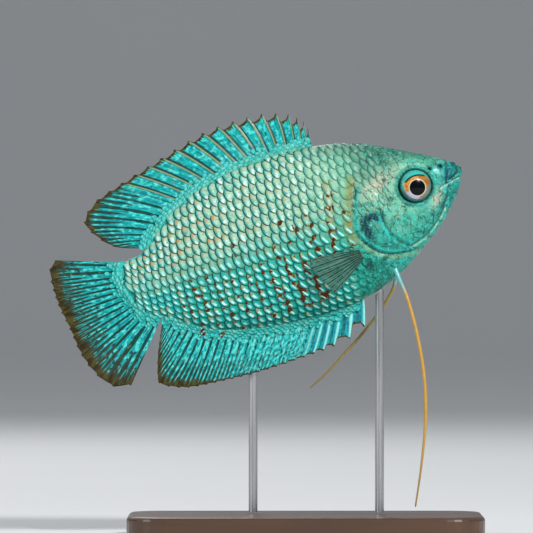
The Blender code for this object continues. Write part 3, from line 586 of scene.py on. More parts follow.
class Look:
    """A material and the ways to add nodes to it."""

    def __init__(self, name, **settings):
        self.material = bpy.data.materials.new(name)
        self.material.use_nodes = True
        self.tree = self.material.node_tree
        self.shader = self.tree.nodes["Principled BSDF"]
        self.set(**settings)

    def set(self, **settings):
        """Values or sockets for the shader, by socket name with _ for a space."""
        for key, value in settings.items():
            self.feed(self.shader.inputs[key.replace("_", " ")], value)

    def feed(self, socket, value):
        if isinstance(value, Value):
            self.tree.links.new(value.socket, socket)
        elif isinstance(value, tuple) and socket.type == "RGBA":
            socket.default_value = (*value, 1.0)
        else:
            socket.default_value = value

    def node(self, kind, inputs, output=0, **settings):
        made = self.tree.nodes.new(f"ShaderNode{kind}")
        for key, value in settings.items():
            setattr(made, key, value)
        for key, value in inputs.items():
            self.feed(made.inputs[key], value)
        return Value(self, made.outputs[output])

    def math(self, operation, first, second=0.0):
        return self.node("Math", {0: first, 1: second}, operation=operation)

    def coats(self, colour, *coats):
        """A colour under coats of paint, each given as how much it covers and its colour."""
        for cover, tint in coats:
            inputs = {0: cover, 6: colour, 7: tint}
            colour = self.node("Mix", inputs, 2, data_type="RGBA", clamp_factor=True)
        return colour

    def length(self, x, y):
        return self.math("SQRT", x * x + y * y)

    def attribute(self, name, output="Fac"):
        return self.node("Attribute", {}, output, attribute_name=name)

    def place(self):
        return self.node("TexCoord", {}, "Object")

    def split(self, vector):
        first = self.node("SeparateXYZ", {0: vector})
        return [Value(self, out) for out in first.socket.node.outputs]

    def on_map(self, name):
        """The two directions of a UV map."""
        return self.split(self.node("UVMap", {}, uv_map=name))[:2]

    def noise(self, place, scale, detail=2.0, roughness=0.5):
        """Noise at a vector, or at a place given by two or three values."""
        if isinstance(place, tuple):
            place = self.node("CombineXYZ", dict(enumerate(place)))
        inputs = {"Vector": place, "Scale": scale, "Detail": detail, "Roughness": roughness}
        return self.node("TexNoise", inputs, "Fac")

    def finish(self, colour, height, strength, distance):
        """Gives the shader its colour and its bumps."""
        inputs = {"Strength": strength, "Distance": distance, "Height": height}
        self.set(Base_Color=colour, Normal=self.node("Bump", inputs, "Normal"))
        return self.material


def skin_look():
    look = Look("fish_skin", Roughness=0.28, **WET)
    place = look.place()
    marks_and_painted_light = look.attribute("MarkingsAndPaintedLight", "Color")
    red, green, _ = look.split(marks_and_painted_light)
    pale = red.smooth(0.012, 0.1)
    lively = green.smooth(0.04, 0.16)
    mottle = look.noise(place, 620.0, 4.0, 0.6)
    glints = look.noise(place, 1300.0, 3.0, 0.6)
    speck = look.noise(place, 3400.0, 2.0, 0.6)
    cells = look.node("TexVoronoi", {"Vector": place, "Scale": 620.0}, feature="DISTANCE_TO_EDGE")
    net = cells.smooth(0.08, 0.015) * glints.smooth(0.62, 0.42)
    colour = look.coats(
        marks_and_painted_light,
        (mottle.smooth(0.5, 0.66) * 0.7 * lively, SEA_GREEN),
        (mottle.smooth(0.46, 0.32) * 0.6 * pale, PALE_MINT),
        (glints.smooth(0.53, 0.64) * 0.6 * lively, BRIGHT_TURQUOISE),
        (glints.smooth(0.44, 0.34) * 0.5, CROWN_GREEN),
        ((1.0 - lively) * speck.smooth(0.5, 0.6) * 0.8, INKY_GLINT),
        (net * 0.75, DEEP_TEAL),
        # Painted glints: tiny white-cyan specks on the skin.
        (speck.smooth(0.62, 0.72) * 0.5 * lively, ICE_GLINT),
        (speck.smooth(0.38, 0.3) * 0.7, INK_BLUE),
    )
    return look.finish(colour, mottle + glints * 0.5 - net * 0.3, 0.3, 0.00025)


def scale_look():
    look = Look("fish_scales", Roughness=0.24, **WET)
    place = look.place()
    names = ("Vary", "Low", "Bold", "Calm", "Narrow", "Fleck", "Spot")
    vary, low, bold, calm, narrow, fleck, spot = map(look.attribute, names)
    along, across = (side * 2.0 - 1.0 for side in look.on_map("ScaleMap"))
    rim = look.length(along, across)
    grain = look.noise((along * 2.0, across * 5.0, vary * 40.0), 1.5)
    shift = look.noise((along, across, vary * 70.0), 1.4) - 0.5
    drift = look.noise(place, 1100.0, 2.0, 0.6) - 0.5
    flaws = look.noise(place, 2600.0, 3.0, 0.6)
    glints = look.noise(place, 1500.0, 3.0, 0.6)
    blotch = look.noise(place, 1350.0, 1.5) - 0.5
    high = (1.0 - low) * bold
    band = (along + shift * 0.6 + rim * 0.25).smooth(0.6, 0.86)
    cream = (look.length(along - 0.25, across * 0.8) + shift * 0.6).smooth(0.55, 0.25) * high
    blush = look.length(along - 0.35, across - 0.2 + shift).smooth(0.5, 0.2) * high
    # Painted highlight: a pearly white glint on each scale of the upper flank.
    white_highlight = look.length(along - 0.4, across * 0.7 + 0.42 + shift).smooth(0.36, 0.1) * high
    # Painted highlights on the lower flank: a white streak on each scale, with a cyan halo round it.
    forth = along - 0.45 + shift * 0.4
    over = across + 0.3 + shift * 0.8
    off = abs(forth * 0.82 - over * 0.57) * (0.65 + narrow * 0.5)
    length = (forth * 0.57 + over * 0.82) * (1.5 - narrow * 0.5)
    highlight_halo = off.smooth(0.42, 0.12) * abs(length).smooth(0.7, 0.3)
    highlight_streak = off.smooth(0.17, 0.03) * abs(length).smooth(0.6, 0.25)
    shine = highlight_streak * low * vary.smooth(0.0, 0.6, 0.4, 1.0) * grain.smooth(0.25, 0.45)
    warm = length.smooth(0.15, 0.4) * off.smooth(0.35, 0.15) * low * vary.smooth(0.5, 0.8)
    tip = look.length(along - 0.6, across - 0.3 + shift).smooth(0.36, 0.1)
    # The scales' dark outlines: partly dark pigment at their rims, partly painted shade along their free
    # edges and under the edge of the scale that covers each one.
    edge = rim.smooth(0.82, 0.93) * (along + across * 0.2).smooth(-0.1, 0.4, 0.25, 1.0)
    tucked_pigment_and_shade = along.smooth(0.0, -0.12) * across.smooth(0.2, 0.6) * 0.6
    outlines_and_shade = edge.most(tucked_pigment_and_shade) * (0.35 + bold * 0.6 - calm * 0.2)
    corner = look.length(along - 0.75, across - 0.35).smooth(0.8, 0.2)
    ragged = spot * 0.6 + blotch * 1.8 + (flaws - 0.5) * 0.5 + corner * 0.45 - highlight_streak * 0.6
    ragged = ragged + narrow * 0.16 - 0.06
    rust = look.coats(RUST, (ragged.smooth(0.6, 0.85), RED_BROWN))
    colour = look.coats(
        look.attribute("MarkingsAndPaintedLight", "Color"),
        (band * 0.85 * bold, SCALE_BLUE),
        (cream * 0.6, CREAM),
        (blush * 0.4, BEIGE),
        (white_highlight * vary.smooth(0.0, 0.8, 0.1, 0.9), PEARL_HIGHLIGHT),
        (grain.smooth(0.5, 0.7) * 0.5, TURQUOISE),
        (drift.smooth(0.0, 0.2) * 0.35, SEA_GREEN),
        (highlight_halo * low * 0.6, GLEAM_BLUE),
        (shine, GLEAM_WHITE),
        (warm * 0.5, OCHRE),
        (fleck * tip, ORANGE),
        (flaws.smooth(0.6, 0.75) * 0.4, DEEP_TEAL),
        (glints.smooth(0.52, 0.62) * calm * 0.6, BRIGHT_TURQUOISE),
        (glints.smooth(0.46, 0.36) * calm * 0.8, DEEP_TEAL),
        (outlines_and_shade * flaws.smooth(0.3, 0.5, 0.6, 1.0), DEEP_TEAL),
        (ragged.smooth(0.56, 0.74) * spot.smooth(0.06, 0.3), rust),
    )
    ridges = look.math("SINE", look.math("ARCTAN2", across, along + 1.3) * 60.0)
    return look.finish(colour, ridges + flaws, 0.1, 0.00006)


def fin_look(name, fin, margin, corner, brown, spines, light):
    """Cyan panels between pale spines, then bright branching rays with dark between, and a brown margin."""
    look = Look(name, Roughness=0.26, **WET)
    across, reach = look.on_map("FinMap")
    place = across * (fin["rays"] - 1.0)
    share = look.math("FRACT", place)
    near = 0.5 - abs(share - 0.5)
    branch = abs(near - reach.smooth(*FORK, 0.0, 0.25))
    branch = abs(branch - reach.smooth(*SECOND_FORK, 0.0, 0.125 * fin["twice"]))
    soft = place.smooth(fin["soft"] - 0.7, fin["soft"] - 0.3)
    front = place.smooth(fin["soft"] + 3.0, fin["soft"] * 0.4) * min(fin["soft"], 1.0)
    fine = look.noise((place * 3.0, reach * 5.0), 1.0, 3.0, 0.6)
    threads = look.noise((place * 8.0, reach * 4.0), 1.0, 3.0, 0.6)
    dash = look.noise((place * 2.4, reach * 13.0), 1.0)
    breaks = look.noise((place * 4.0, reach * 15.0, 9.0), 1.0, 1.0)
    flecks = look.noise((place * 2.2, reach * 7.0, 3.0), 1.0, 2.0, 0.6)
    glow = (dash + (fine - 0.5) * 0.5).smooth(0.5 - light * 0.12, 0.68 - light * 0.12)
    pale = (fine + (0.45 - reach) * 0.35).smooth(0.5, 0.7) * front
    blue = share.smooth(0.55, 0.8) * (1.0 - soft) * 0.6
    # Painted shadow: dark lines on the membrane just before and just after each spine.
    ahead = abs(share - 0.845).smooth(0.125, 0.075)
    behind = abs(share - 0.1).smooth(0.045, 0.015) * 0.7
    spine_shadow = ahead.most(behind) * (1.0 - soft) * spines
    narrow = reach.smooth(*SECOND_FORK, 0.0, 0.06 * fin["twice"])
    wide = reach.smooth(0.2, 0.8, 0.37, 0.1) - narrow + front * (1.0 - reach) * 0.08 - 0.035 * brown
    soft_dark = (branch - wide + (fine - 0.5) * 0.22).smooth(-0.04, 0.05)
    soft_dark = soft_dark * (1.0 - front * breaks.smooth(0.4, 0.55) * 0.9) * soft.most(1.0 - spines)
    gaps = breaks.smooth(0.44, 0.36) * reach.smooth(0.1, 0.7, 0.35, 1.0) * brown
    # The dark lines: the fin's own dark between the soft rays and in its breaks, and painted shadow beside
    # the spines.
    dark = (spine_shadow.most(soft_dark) * reach.smooth(0.02, 0.12)).most(gaps)
    shade = look.coats(FIN_DARK, (reach.smooth(0.35, 0.8) * brown, DARK_BROWN))
    spine = near.smooth(0.075, 0.045) * (1.0 - soft) * reach.smooth(0.1, 0.3)
    spiky = place.smooth(fin["spikes"], fin["spikes"] * 0.5)
    spikes = look.coats(
        PANEL_BLUE,
        (threads.smooth(0.4, 0.6), PANEL_CYAN),
        (near.smooth(0.3, 0.45) * 0.6, FIN_DARK),
        ((near + (fine - 0.5) * 0.1).smooth(0.18, 0.08), SPIKE_WHITE),
    )
    border = abs(place - fin["corner"]).smooth(7.0, 1.0) * corner + margin
    ends = (look.attribute("Edge") + (threads - 0.5) * border * 3.0 - border).smooth(0.0, border * -0.5)
    colour = look.coats(
        FIN_BLUE,
        (threads.smooth(0.36, 0.6), FIN_CYAN),
        (glow * 0.85, FIN_LIGHT),
        (pale * 0.7, FIN_PALE),
        (blue * spines, FIN_BLUE),
        (dark * 0.92, shade),
        (spine * spines, SPINE_OLIVE),
        (flecks.smooth(0.66, 0.74) * 0.6, FIN_OLIVE),
        (spiky * 0.85, spikes),
        (ends, look.coats(OLIVE_BROWN, (fine.smooth(0.4, 0.6), DARK_BROWN))),
    )
    return look.finish(colour, threads + fine, 0.2, 0.0001)


def clear_fin_look():
    look = Look("fish_clear_fin", Roughness=0.3, Specular_IOR_Level=0.14, Coat_Weight=0.05)
    across, reach = look.on_map("FinMap")
    place = across * (PECTORAL["rays"] - 1.0)
    near = 0.5 - abs(look.math("FRACT", place) - 0.5)
    cloud = look.noise((across * 9.0, reach * 5.0), 1.0, 3.0)
    strands = look.noise((place * 2.0, reach * 2.5), 1.0, 3.0) - 0.5
    ray = (abs(near - reach.smooth(0.25, 0.6, 0.0, 0.2)) + strands * 0.35).smooth(0.22, 0.06)
    colour = look.coats(
        (0.012, 0.06, 0.052),
        (cloud.smooth(0.35, 0.65), (0.03, 0.11, 0.085)),
        ((near + strands * 0.3).smooth(0.3, 0.45) * 0.5, (0.006, 0.035, 0.035)),
        (ray * 0.7, (0.11, 0.26, 0.19)),
        (reach.smooth(0.16, 0.0) * 0.7, (0.10, 0.06, 0.03)),
    )
    look.set(Alpha=(ray - reach * 0.4).smooth(0.0, 0.8, 0.5, 0.9))
    return look.finish(colour, cloud, 0.15, 0.0001)


def eye_look():
    look = Look("fish_eye", Roughness=0.2, Specular_IOR_Level=0.1, Coat_Roughness=0.03)
    pupil, ring, up, ahead = map(look.attribute, ("Pupil", "Ring", "Up", "Ahead"))
    place = look.place()
    wisps = look.noise(place, 1500.0, 3.0, 0.6)
    streaks = look.noise(place, 4200.0, 2.0, 0.6)
    rough = (wisps - 0.5) * 0.5
    low = (up + rough).smooth(-0.1, -0.34)
    crown = ring + up * 2.2 - 1.0 + rough * 0.4
    iris = look.coats(
        (0.42, 0.13, 0.01),
        (wisps.smooth(0.42, 0.6), (0.66, 0.32, 0.05)),
        (ahead.smooth(0.0, 0.5) * 0.6, (0.22, 0.08, 0.015)),
        (low * ahead.smooth(0.1, -0.3), (0.46, 0.47, 0.66)),
        (low * ahead.smooth(-0.2, 0.2) * 0.85, (0.16, 0.20, 0.17)),
        # Painted shadow: a dark arc over the top of the iris.
        (crown.smooth(1.8, 1.95) * up.smooth(0.3, 0.45), (0.01, 0.03, 0.03)),
        (crown.smooth(2.3, 2.45), (0.03, 0.48, 0.44)),
        (streaks.smooth(0.55, 0.72) * 0.35, DEEP_TEAL),
    )
    outer = look.coats(
        (0.10, 0.24, 0.22),
        ((up + rough).smooth(-0.1, 0.2), (0.08, 0.44, 0.36)),
        (streaks.smooth(0.5, 0.66) * 0.6, DEEP_TEAL),
    )
    inner = look.coats((0.62, 0.58, 0.42), ((pupil + rough * 0.3).smooth(1.5, 1.66), iris))
    colour = look.coats(
        (0.001, 0.002, 0.003),
        (pupil.smooth(1.39, 1.47), inner),
        ((ring + rough * 0.3 - ahead * 0.1).smooth(2.34, 2.52), outer),
        # Painted shade: the eye's edge is darkened where it sits under the rim of its socket.
        (ring.smooth(2.78, 2.92), (0.02, 0.13, 0.105)),
    )
    look.set(Base_Color=colour, Coat_Weight=pupil.smooth(1.3, 1.7, 0.1, 0.6))
    return look.material


def feeler_look(name, dim, bright):
    look = Look(name, Roughness=0.38, Coat_Weight=0.3, Coat_Roughness=0.15)
    reach = look.attribute("Reach")
    vary = look.noise((reach * 40.0, 0.0), 1.0, 3.0)
    colour = look.coats(
        (0.14, 0.46, 0.46),
        (reach.smooth(0.07, 0.14), look.coats(dim, (vary, bright))),
        (reach.smooth(0.6, 1.0) * 0.6, (0.25, 0.17, 0.05)),
    )
    return look.finish(colour, vary, 0.2, 0.0001)


def wood_look():
    look = Look("dark_wood", Coat_Weight=0.35, Coat_Roughness=0.2)
    x, y, z = look.split(look.place())
    grain = look.noise((x * 14.0, y * 320.0, z * 320.0), 1.0, 5.0, 0.6)
    figure = look.noise((x * 30.0, y * 90.0, z * 90.0), 1.0, 3.0)
    colour = look.coats(
        (0.035, 0.016, 0.008),
        (grain, (0.13, 0.06, 0.028)),
        (figure.smooth(0.4, 0.7) * 0.5, (0.05, 0.024, 0.012)),
    )
    look.set(Roughness=grain.smooth(0.2, 0.8, 0.4, 0.26))
    return look.finish(colour, grain, 0.15, 0.0002)


def steel_look():
    look = Look("brushed_steel", Metallic=1.0)
    x, y, z = look.split(look.place())
    brush = look.noise((x * 3000.0, y * 3000.0, z * 60.0), 1.0, 3.0, 0.6)
    colour = look.coats((0.42, 0.43, 0.44), (brush, (0.62, 0.62, 0.63)))
    look.set(Roughness=brush.smooth(0.3, 0.7, 0.2, 0.36))
    return look.finish(colour, brush, 0.05, 0.0001)


def skin_columns():
    """The x of each of the skin's rings, and how far the ring is closed."""
    trunk = np.arange(BODY[0][0], HEAD_END_X, TRUNK_STEP)
    head = np.linspace(HEAD_END_X, BODY[-1][0], round((BODY[-1][0] - HEAD_END_X) / HEAD_STEP))
    bend = np.linspace(0, math.pi / 2, NOSE_STEPS + 1)[1:]
    front = BODY[-1][0] + NOSE_ROUND * np.sin(bend)
    rear = BODY[0][0] - NOSE_ROUND * np.sin(bend[::-1])
    places = np.concatenate([rear, trunk, head, front])
    open_to = np.concatenate([np.cos(bend[::-1]), np.ones(len(trunk) + len(head)), np.cos(bend)])
    return places, open_to


def make_skin():
    places, open_to = skin_columns()
    mesh, column, row, _ = flat_grid("skin", len(places) - 1, RING_STEPS)
    turns = np.linspace(-math.pi / 2, 1.5 * math.pi, RING_STEPS + 1)
    x, turn = np.meshgrid(places, turns, indexing="ij")
    points = body_at(on_body(x), turn, COAT_DEPTH)
    middle = rows_at(BODY, on_body(x))[3]
    share = open_to[:, None]
    points[..., 0] = x
    points[..., 1] *= share
    points[..., 2] = middle + (points[..., 2] - middle) * share
    out = unit(np.cross(np.gradient(points, axis=1), np.gradient(points, axis=0)))
    marks_and_painted_light = paint(points)
    points = points + out * head_relief(points)[..., None]
    set_points(mesh, points[column, row])
    set_colour(mesh, "MarkingsAndPaintedLight", marks_and_painted_light[column, row])
    nodes = ("head", "lower_jaw", "gill_cover_right", "gill_cover_left", "torso", "tail_stem")
    piece("fish_skin", mesh, skin_look(), "skin", *nodes)


def row_level(number):
    """How far round the girth a row of scales lies above mid flank, its spacing, and its lead."""
    if number == 0:
        return MIDDLE_ROW
    offset, spacing, lead = UPPER_ROWS if number > 0 else LOWER_ROWS
    return math.copysign(offset + spacing * abs(number), number), spacing, lead * number


def scale_stations():
    """The x of each whole pitch from the snout to the tail, to be read between them too."""
    places = [SCALES_X[1]]
    while places[-1] > BODY[0][0]:
        places.append(places[-1] - float(rows_at(SCALE_PITCH, places[-1])[0]))
    return np.array(places)


def scale_places(side):
    """For each scale of one side: x, turn, length, width, turn for each millimetre up, z, and lift."""
    stations = scale_stations()
    turns = np.linspace(-math.pi / 2, math.pi / 2, 241)
    found = []
    for number in range(-10, 10):
        level, spacing, lead = row_level(number)
        for k in range(1, len(stations) - 2):
            x = float(np.interp(k - lead % 1.0, np.arange(len(stations)), stations))
            pitch, share = rows_at(SCALE_PITCH, x)
            ring = body_at(np.full_like(turns, x), turns, 0.0)
            length = run_along(ring)
            at = np.interp(0.0, turns, length) + level * share
            if not ROW_GUARD < at < length[-1] - ROW_GUARD or x < SCALES_X[0]:
                continue
            turn, above, below = np.interp((at, at + ROW_GUARD, at - ROW_GUARD), length, turns)
            z = float(np.interp(at, length, ring[:, 2]))
            lift = scale_lift(x, z)
            if lift > 0:
                size = (pitch * SCALE_LENGTH, spacing * share * SCALE_WIDTH)
                found.append((x, turn, *size, (above - below) / (2 * ROW_GUARD), z, lift))
    table = np.array(found)
    table[:, 1] = np.where(side < 0, math.pi - table[:, 1], table[:, 1])
    table[:, 4] *= side
    return table


def scale_lift(x, z):
    """How much a scale's free edge stands up: in full on the trunk, little on the head, 0 for none."""
    gill = float(from_line(np.array([x]), np.array([z]), GILL_EDGE)[0])
    if x < HEAD_END_X or gill < -1.0 and x < -10:
        return (0.45 + 0.55 * ease(-x, 16, 30)) * (1 - 0.5 * on_breast(x, z))
    if x <= -18 and z > 4:
        return 0.5 if gill < -0.9 else 0.0
    if eye_distance(x, z) < 4.2 or x > -8.8:
        return 0.0
    if z > 4.5 and x > -18:
        return 0.28 + 0.2 * ease(-x, 11, 18)
    return 0.28 if z > -0.6 and x < -11.5 and abs(gill) > 0.8 else 0.0


def make_plates(count):
    """A mesh of many closed plates from an array; each vertex's plate, its place on it, and its layer."""
    mesh, *_ = flat_grid("scales", SCALE_CELLS, SCALE_CELLS, thick=True)
    single = len(mesh.vertices)
    guide = add_object("guide", mesh)
    rows = guide.modifiers.new("rows", "ARRAY")
    rows.use_relative_offset = False
    rows.count = count
    bpy.context.view_layer.update()
    graph = bpy.context.evaluated_depsgraph_get()
    many = bpy.data.meshes.new_from_object(guide.evaluated_get(graph))
    bpy.data.objects.remove(guide)
    a, b, height = read_points(many).T * 2
    along = a * np.sqrt(1 - 0.5 * b * b)
    across = b * np.sqrt(1 - 0.5 * a * a)
    return many, np.arange(len(a)) // single, along, across, np.where(height > 1, 1.0, -1.0)


def plate_piece(mesh, name, look, points, which, along, across, unwrap, traits, marks_and_painted_light):
    set_points(mesh, points)
    set_colour(mesh, "MarkingsAndPaintedLight", marks_and_painted_light)
    set_value(mesh, "Spot", spot_bars(points))
    for trait, values in traits.items():
        set_value(mesh, trait, values[which])
    on_plate = np.stack([along, across], axis=1)
    set_map(mesh, "ScaleMap", on_plate / 2 + 0.5)
    set_map(mesh, "OFBake", unwrap * 0.98 + 0.01 + on_plate * 0.0015)
    piece(name, mesh, look, "skin", weld=False)


def make_scales(side, look, draw):
    places = scale_places(side)
    count = len(places)
    places[:, 0] += draw.normal(0, 0.06, count)
    places[:, 2:4] *= 1 + draw.normal(0, 0.05, (count, 2))
    mesh, which, along, across, layer = make_plates(count)
    x0, turn0, length, width, slope, _, lifted = places[which].T
    x = x0 - along * length / 2
    turn = turn0 + across * width / 2 * slope
    points = body_at(on_body(x), turn, COAT_DEPTH)
    points[:, 0] = x
    tilt = 0.18 * (along + 1) / 2 - 0.05 * across + 0.05 * (1 - across**2)
    rise = -0.08 + tilt * lifted + layer * SCALE_THICK / 2 + head_relief(points)
    points += body_normal(x, turn) * rise[:, None]
    px, pz = places[:, 0], places[:, 5]
    upper = ease(px, -64, -60) * ease(-px, 32, 42) * ease(pz, 0.5, 3) * ease(-pz, -11, -9)
    breast = on_breast(px, pz)
    behind_gill = ridge(from_line(px, pz, GILL_BAND), 0.0, 1.3)
    low = ease(-pz, -4.5, 2.5) * (1 - 0.9 * breast)
    bold = (ease(-px, 15, 36) * 0.75 + 0.25) * (1 - 0.8 * behind_gill) * (1 - breast)
    often = draw.random(count) < 0.3 + 0.4 * upper
    fleck = often * draw.uniform(0.15, 0.5 + 0.4 * upper, count) * (1 - low) * bold
    unwrap = np.stack([(x0 + 66) / 70, (turn0 + math.pi / 2) / (2 * math.pi)], axis=1)
    traits = {"Vary": draw.random(count), "Fleck": fleck, "Low": low, "Bold": bold, "Calm": breast}
    traits["Narrow"] = ease(px, -44, -30)
    name = f"scales_{SIDES[side]}"
    plate_piece(mesh, name, look, points, which, along, across, unwrap, traits, paint(points))


def fin_lines(fin, place, notch):
    root_x, root_z, tip_x, tip_z = rows_at(fin["guides"], place)
    root = np.stack([root_x, root_z], axis=-1)
    tip = np.stack([tip_x, tip_z], axis=-1)
    tip = tip - unit(tip - root) * notch[..., None]
    along = tip - root
    bend = np.stack([-along[..., 1], along[..., 0]], axis=-1) * fin["bow"]
    bend *= np.where(bend[..., :1] < 0, -1, 1)
    return root, (root + tip) / 2 + bend, tip


def foot_places(fin, draw):
    """For each small scale at a fin's foot: its middle, the way it points, its size and its row."""
    place = np.linspace(0.3, fin["rays"] - 1.3, 600)
    root, _, tip = fin_lines(fin, place, np.zeros_like(place))
    full = np.linalg.norm(tip - root, axis=1)
    way = unit(tip - root)
    out = np.zeros_like(place)
    for step in np.arange(0, 4, 0.05):
        at = root + way * step
        back, belly, *_ = rows_at(BODY, on_body(at[:, 0]))
        inside = (at[:, 1] < back) & (at[:, 1] > belly) & (at[:, 0] > BODY[0][0])
        out = np.where(inside, step, out)
    found = []
    for row, kept in enumerate(FOOT_KEPT):
        middle = root + way * np.minimum(out - 0.3 + row * FOOT_STEP, full * 0.8)[:, None]
        run = run_along(middle)
        for at in np.arange(0.3 + row % 2 * FOOT_PITCH / 2, run[-1], FOOT_PITCH):
            i = min(int(np.searchsorted(run, at + draw.normal(0, 0.08))), len(run) - 1)
            size = (1.15 - 0.12 * row) * draw.uniform(0.8, 1.2)
            shift = draw.normal(0, 0.1)
            if draw.random() < kept:
                found.append((*(middle[i] + way[i] * shift), *way[i], size, row))
    return found


def make_foot_scales(look, draw):
    """Small scales that run from the body onto the feet of the middle fins, on both sides."""
    one_side = [place for fin in (DORSAL, ANAL, TAIL_FIN) for place in foot_places(fin, draw)]
    places = np.array([(*place, side) for side in SIDES for place in one_side])
    count = len(places)
    mesh, which, along, across, layer = make_plates(count)
    x0, z0, way_x, way_z, size, row, side = places[which].T
    forth = along * size * 0.68
    over = across * size * 0.56
    x = x0 + way_x * forth - way_z * over
    z = z0 + way_z * forth + way_x * over
    rise = 0.38 - 0.05 * row + 0.05 * along + 0.03 * (1 - across**2) + layer * SCALE_THICK / 2
    points = np.stack([x, side * rise, z], axis=1)
    above = np.where(z0 > 0, 1.0, -1.0)
    turn = above * (math.pi / 2 - side * (0.02 + 0.02 * row))
    round_it = np.mod((turn + math.pi / 2) / (2 * math.pi), 1.0)
    unwrap = np.stack([(x0 + 78) / 82, round_it], axis=1)
    tone = draw.random(count)[which, None] * 0.6
    fin_part = np.array(FIN_CYAN) * (1 - tone) + np.array(FIN_LIGHT) * tone
    body_part = (0.4 * 0.6**row)[:, None]
    marks_and_painted_light = paint(points) * body_part + fin_part * (1 - body_part)
    same = np.ones(count)
    traits = {"Vary": draw.random(count), "Low": same * 0.3, "Bold": same * 0.05}
    plate_piece(mesh, "scales_on_fins", look, points, which, along, across, unwrap, traits, marks_and_painted_light)


def ray_height(fin, place, reach):
    """1 on a ray or its branches, 0 on the membrane."""
    number = np.rint(place)
    off = np.abs(place - number)
    soft = number >= fin["soft"]
    first = 0.25 * ease(reach, *FORK) * soft
    second = 0.125 * ease(reach, *SECOND_FORK) * soft * fin["twice"]
    gap = np.abs(np.abs(off - first) - second)
    width = np.where(soft, 0.13 - 0.07 * reach, 0.12 - 0.03 * reach)
    return ridge(gap, 0.0, width)


def make_fin(name, fin, look, slot, node, middle_y=None):
    columns = (fin["rays"] - 1) * RAY_COLUMNS
    mesh, column, row, layer = flat_grid(name, columns, FIN_ROWS, thick=True)
    place = column / RAY_COLUMNS
    reach = row / FIN_ROWS
    ray = np.floor(np.minimum(place, fin["rays"] - 1 - 1e-6))
    share = place - ray
    first, last = fin["notch"]
    deep = last + (first - last) * np.exp(-ray / fin["notch_fade"])
    dip = ease(share, 0.0, 0.3) * 0.62 + ease(share, 0.2, 0.8) * 0.38
    notch = deep * dip * (1 - ease(share, 0.86, 1.0))
    root, middle, tip = fin_lines(fin, place, notch)
    t = reach[:, None]
    flat = root * (1 - t) ** 2 + middle * 2 * t * (1 - t) + tip * t**2
    full = np.linalg.norm(tip - root, axis=1)
    swell = ROOT_SWELL * np.clip(1 - reach / 0.3, 0, 1)
    rise = ray_height(fin, place, reach) * RAY_RISE * (1 - 0.75 * reach)
    thick = (MEMBRANE_HALF * (1 - 0.4 * reach) + swell + rise) * (1 - 0.7 * ease(reach, 0.97, 1.0))
    wave = fin["sway"] * reach**2 * np.sin(2 * math.pi * SWAY_WAVES * place / fin["rays"] + SWAY_PHASE)
    base = middle_y(np.linalg.norm(flat - root, axis=1)) if middle_y else 0.0
    set_points(mesh, np.stack([flat[:, 0], base + wave + layer * thick, flat[:, 1]], axis=1))
    set_value(mesh, "Edge", full * (1 - reach))
    set_map(mesh, "FinMap", np.stack([place / (fin["rays"] - 1), reach], axis=1))
    piece(name, mesh, look, slot, node, weld=False)


def make_eye(side, look):
    name = f"eye_{SIDES[side]}"
    bm = bmesh.new()
    bmesh.ops.create_uvsphere(bm, u_segments=96, v_segments=64, radius=1.0)
    mesh = new_mesh(name, bm)
    ball = read_points(mesh)
    # The pole lies on the line of sight: the ball's z is outwards, its x is forward.
    ahead, out, up = (ball[:, [0, 2, 1]] * np.array(EYE_RADII) * np.array([1, side, 1])).T
    yaw = -side * EYE_YAW
    c, s = math.cos(yaw), math.sin(yaw)
    x = ahead * c - out * s + EYE_AT[0]
    y = ahead * s + out * c + side * EYE_AT[1]
    z = up + EYE_AT[2]
    set_points(mesh, np.stack([x, y, z], axis=1))
    rings = {"Ring": np.hypot(ahead, up), "Pupil": np.hypot(x - PUPIL_AT[0], z - PUPIL_AT[1])}
    for trait, values in rings.items():
        set_value(mesh, trait, np.where(ball[:, 2] > 0, values, 3.5))
    set_value(mesh, "Up", up / 3)
    set_value(mesh, "Ahead", ahead / 3)
    piece(f"fish_{name}", mesh, look, "eye", name)


def make_feeler(side, line, look):
    name = f"feeler_{SIDES[side]}"
    steps, sides = 160, 16
    path = smooth_path([(x, side * y, z) for x, y, z in line], steps)
    lengths = run_along(path)
    mesh, column, row, _ = flat_grid(name, steps, sides)
    along = unit(np.gradient(path, axis=0))
    sideways = unit(np.cross(along, (0, 1, 0)))
    other = np.cross(along, sideways)
    total = lengths[-1]
    near_tip = np.clip(1 - (1 - lengths / total) / 0.4, 0, 1)
    radius = 0.3 - 0.16 * near_tip + 0.2 * np.clip(1 - lengths / 4.0, 0, 1)
    radius[0] = radius[-1] = 0.0
    turn = row / sides * 2 * math.pi
    ring = np.cos(turn)[:, None] * sideways[column] + np.sin(turn)[:, None] * other[column]
    set_points(mesh, path[column] + ring * radius[column][:, None])
    set_value(mesh, "Reach", lengths[column] / total)
    nodes = [f"{name}_{part}" for part in ("upper", "middle", "lower")]
    piece(f"fish_{name}", mesh, look, "feeler", *nodes)


def dress_stand(frame):
    wood, steel = wood_look(), steel_look()
    for name, look in (("stand_base", wood), ("stand_rod_front", steel), ("stand_rod_rear", steel)):
        node = frame["nodes"][name]
        node.data.materials.clear()
        node.data.materials.append(look)


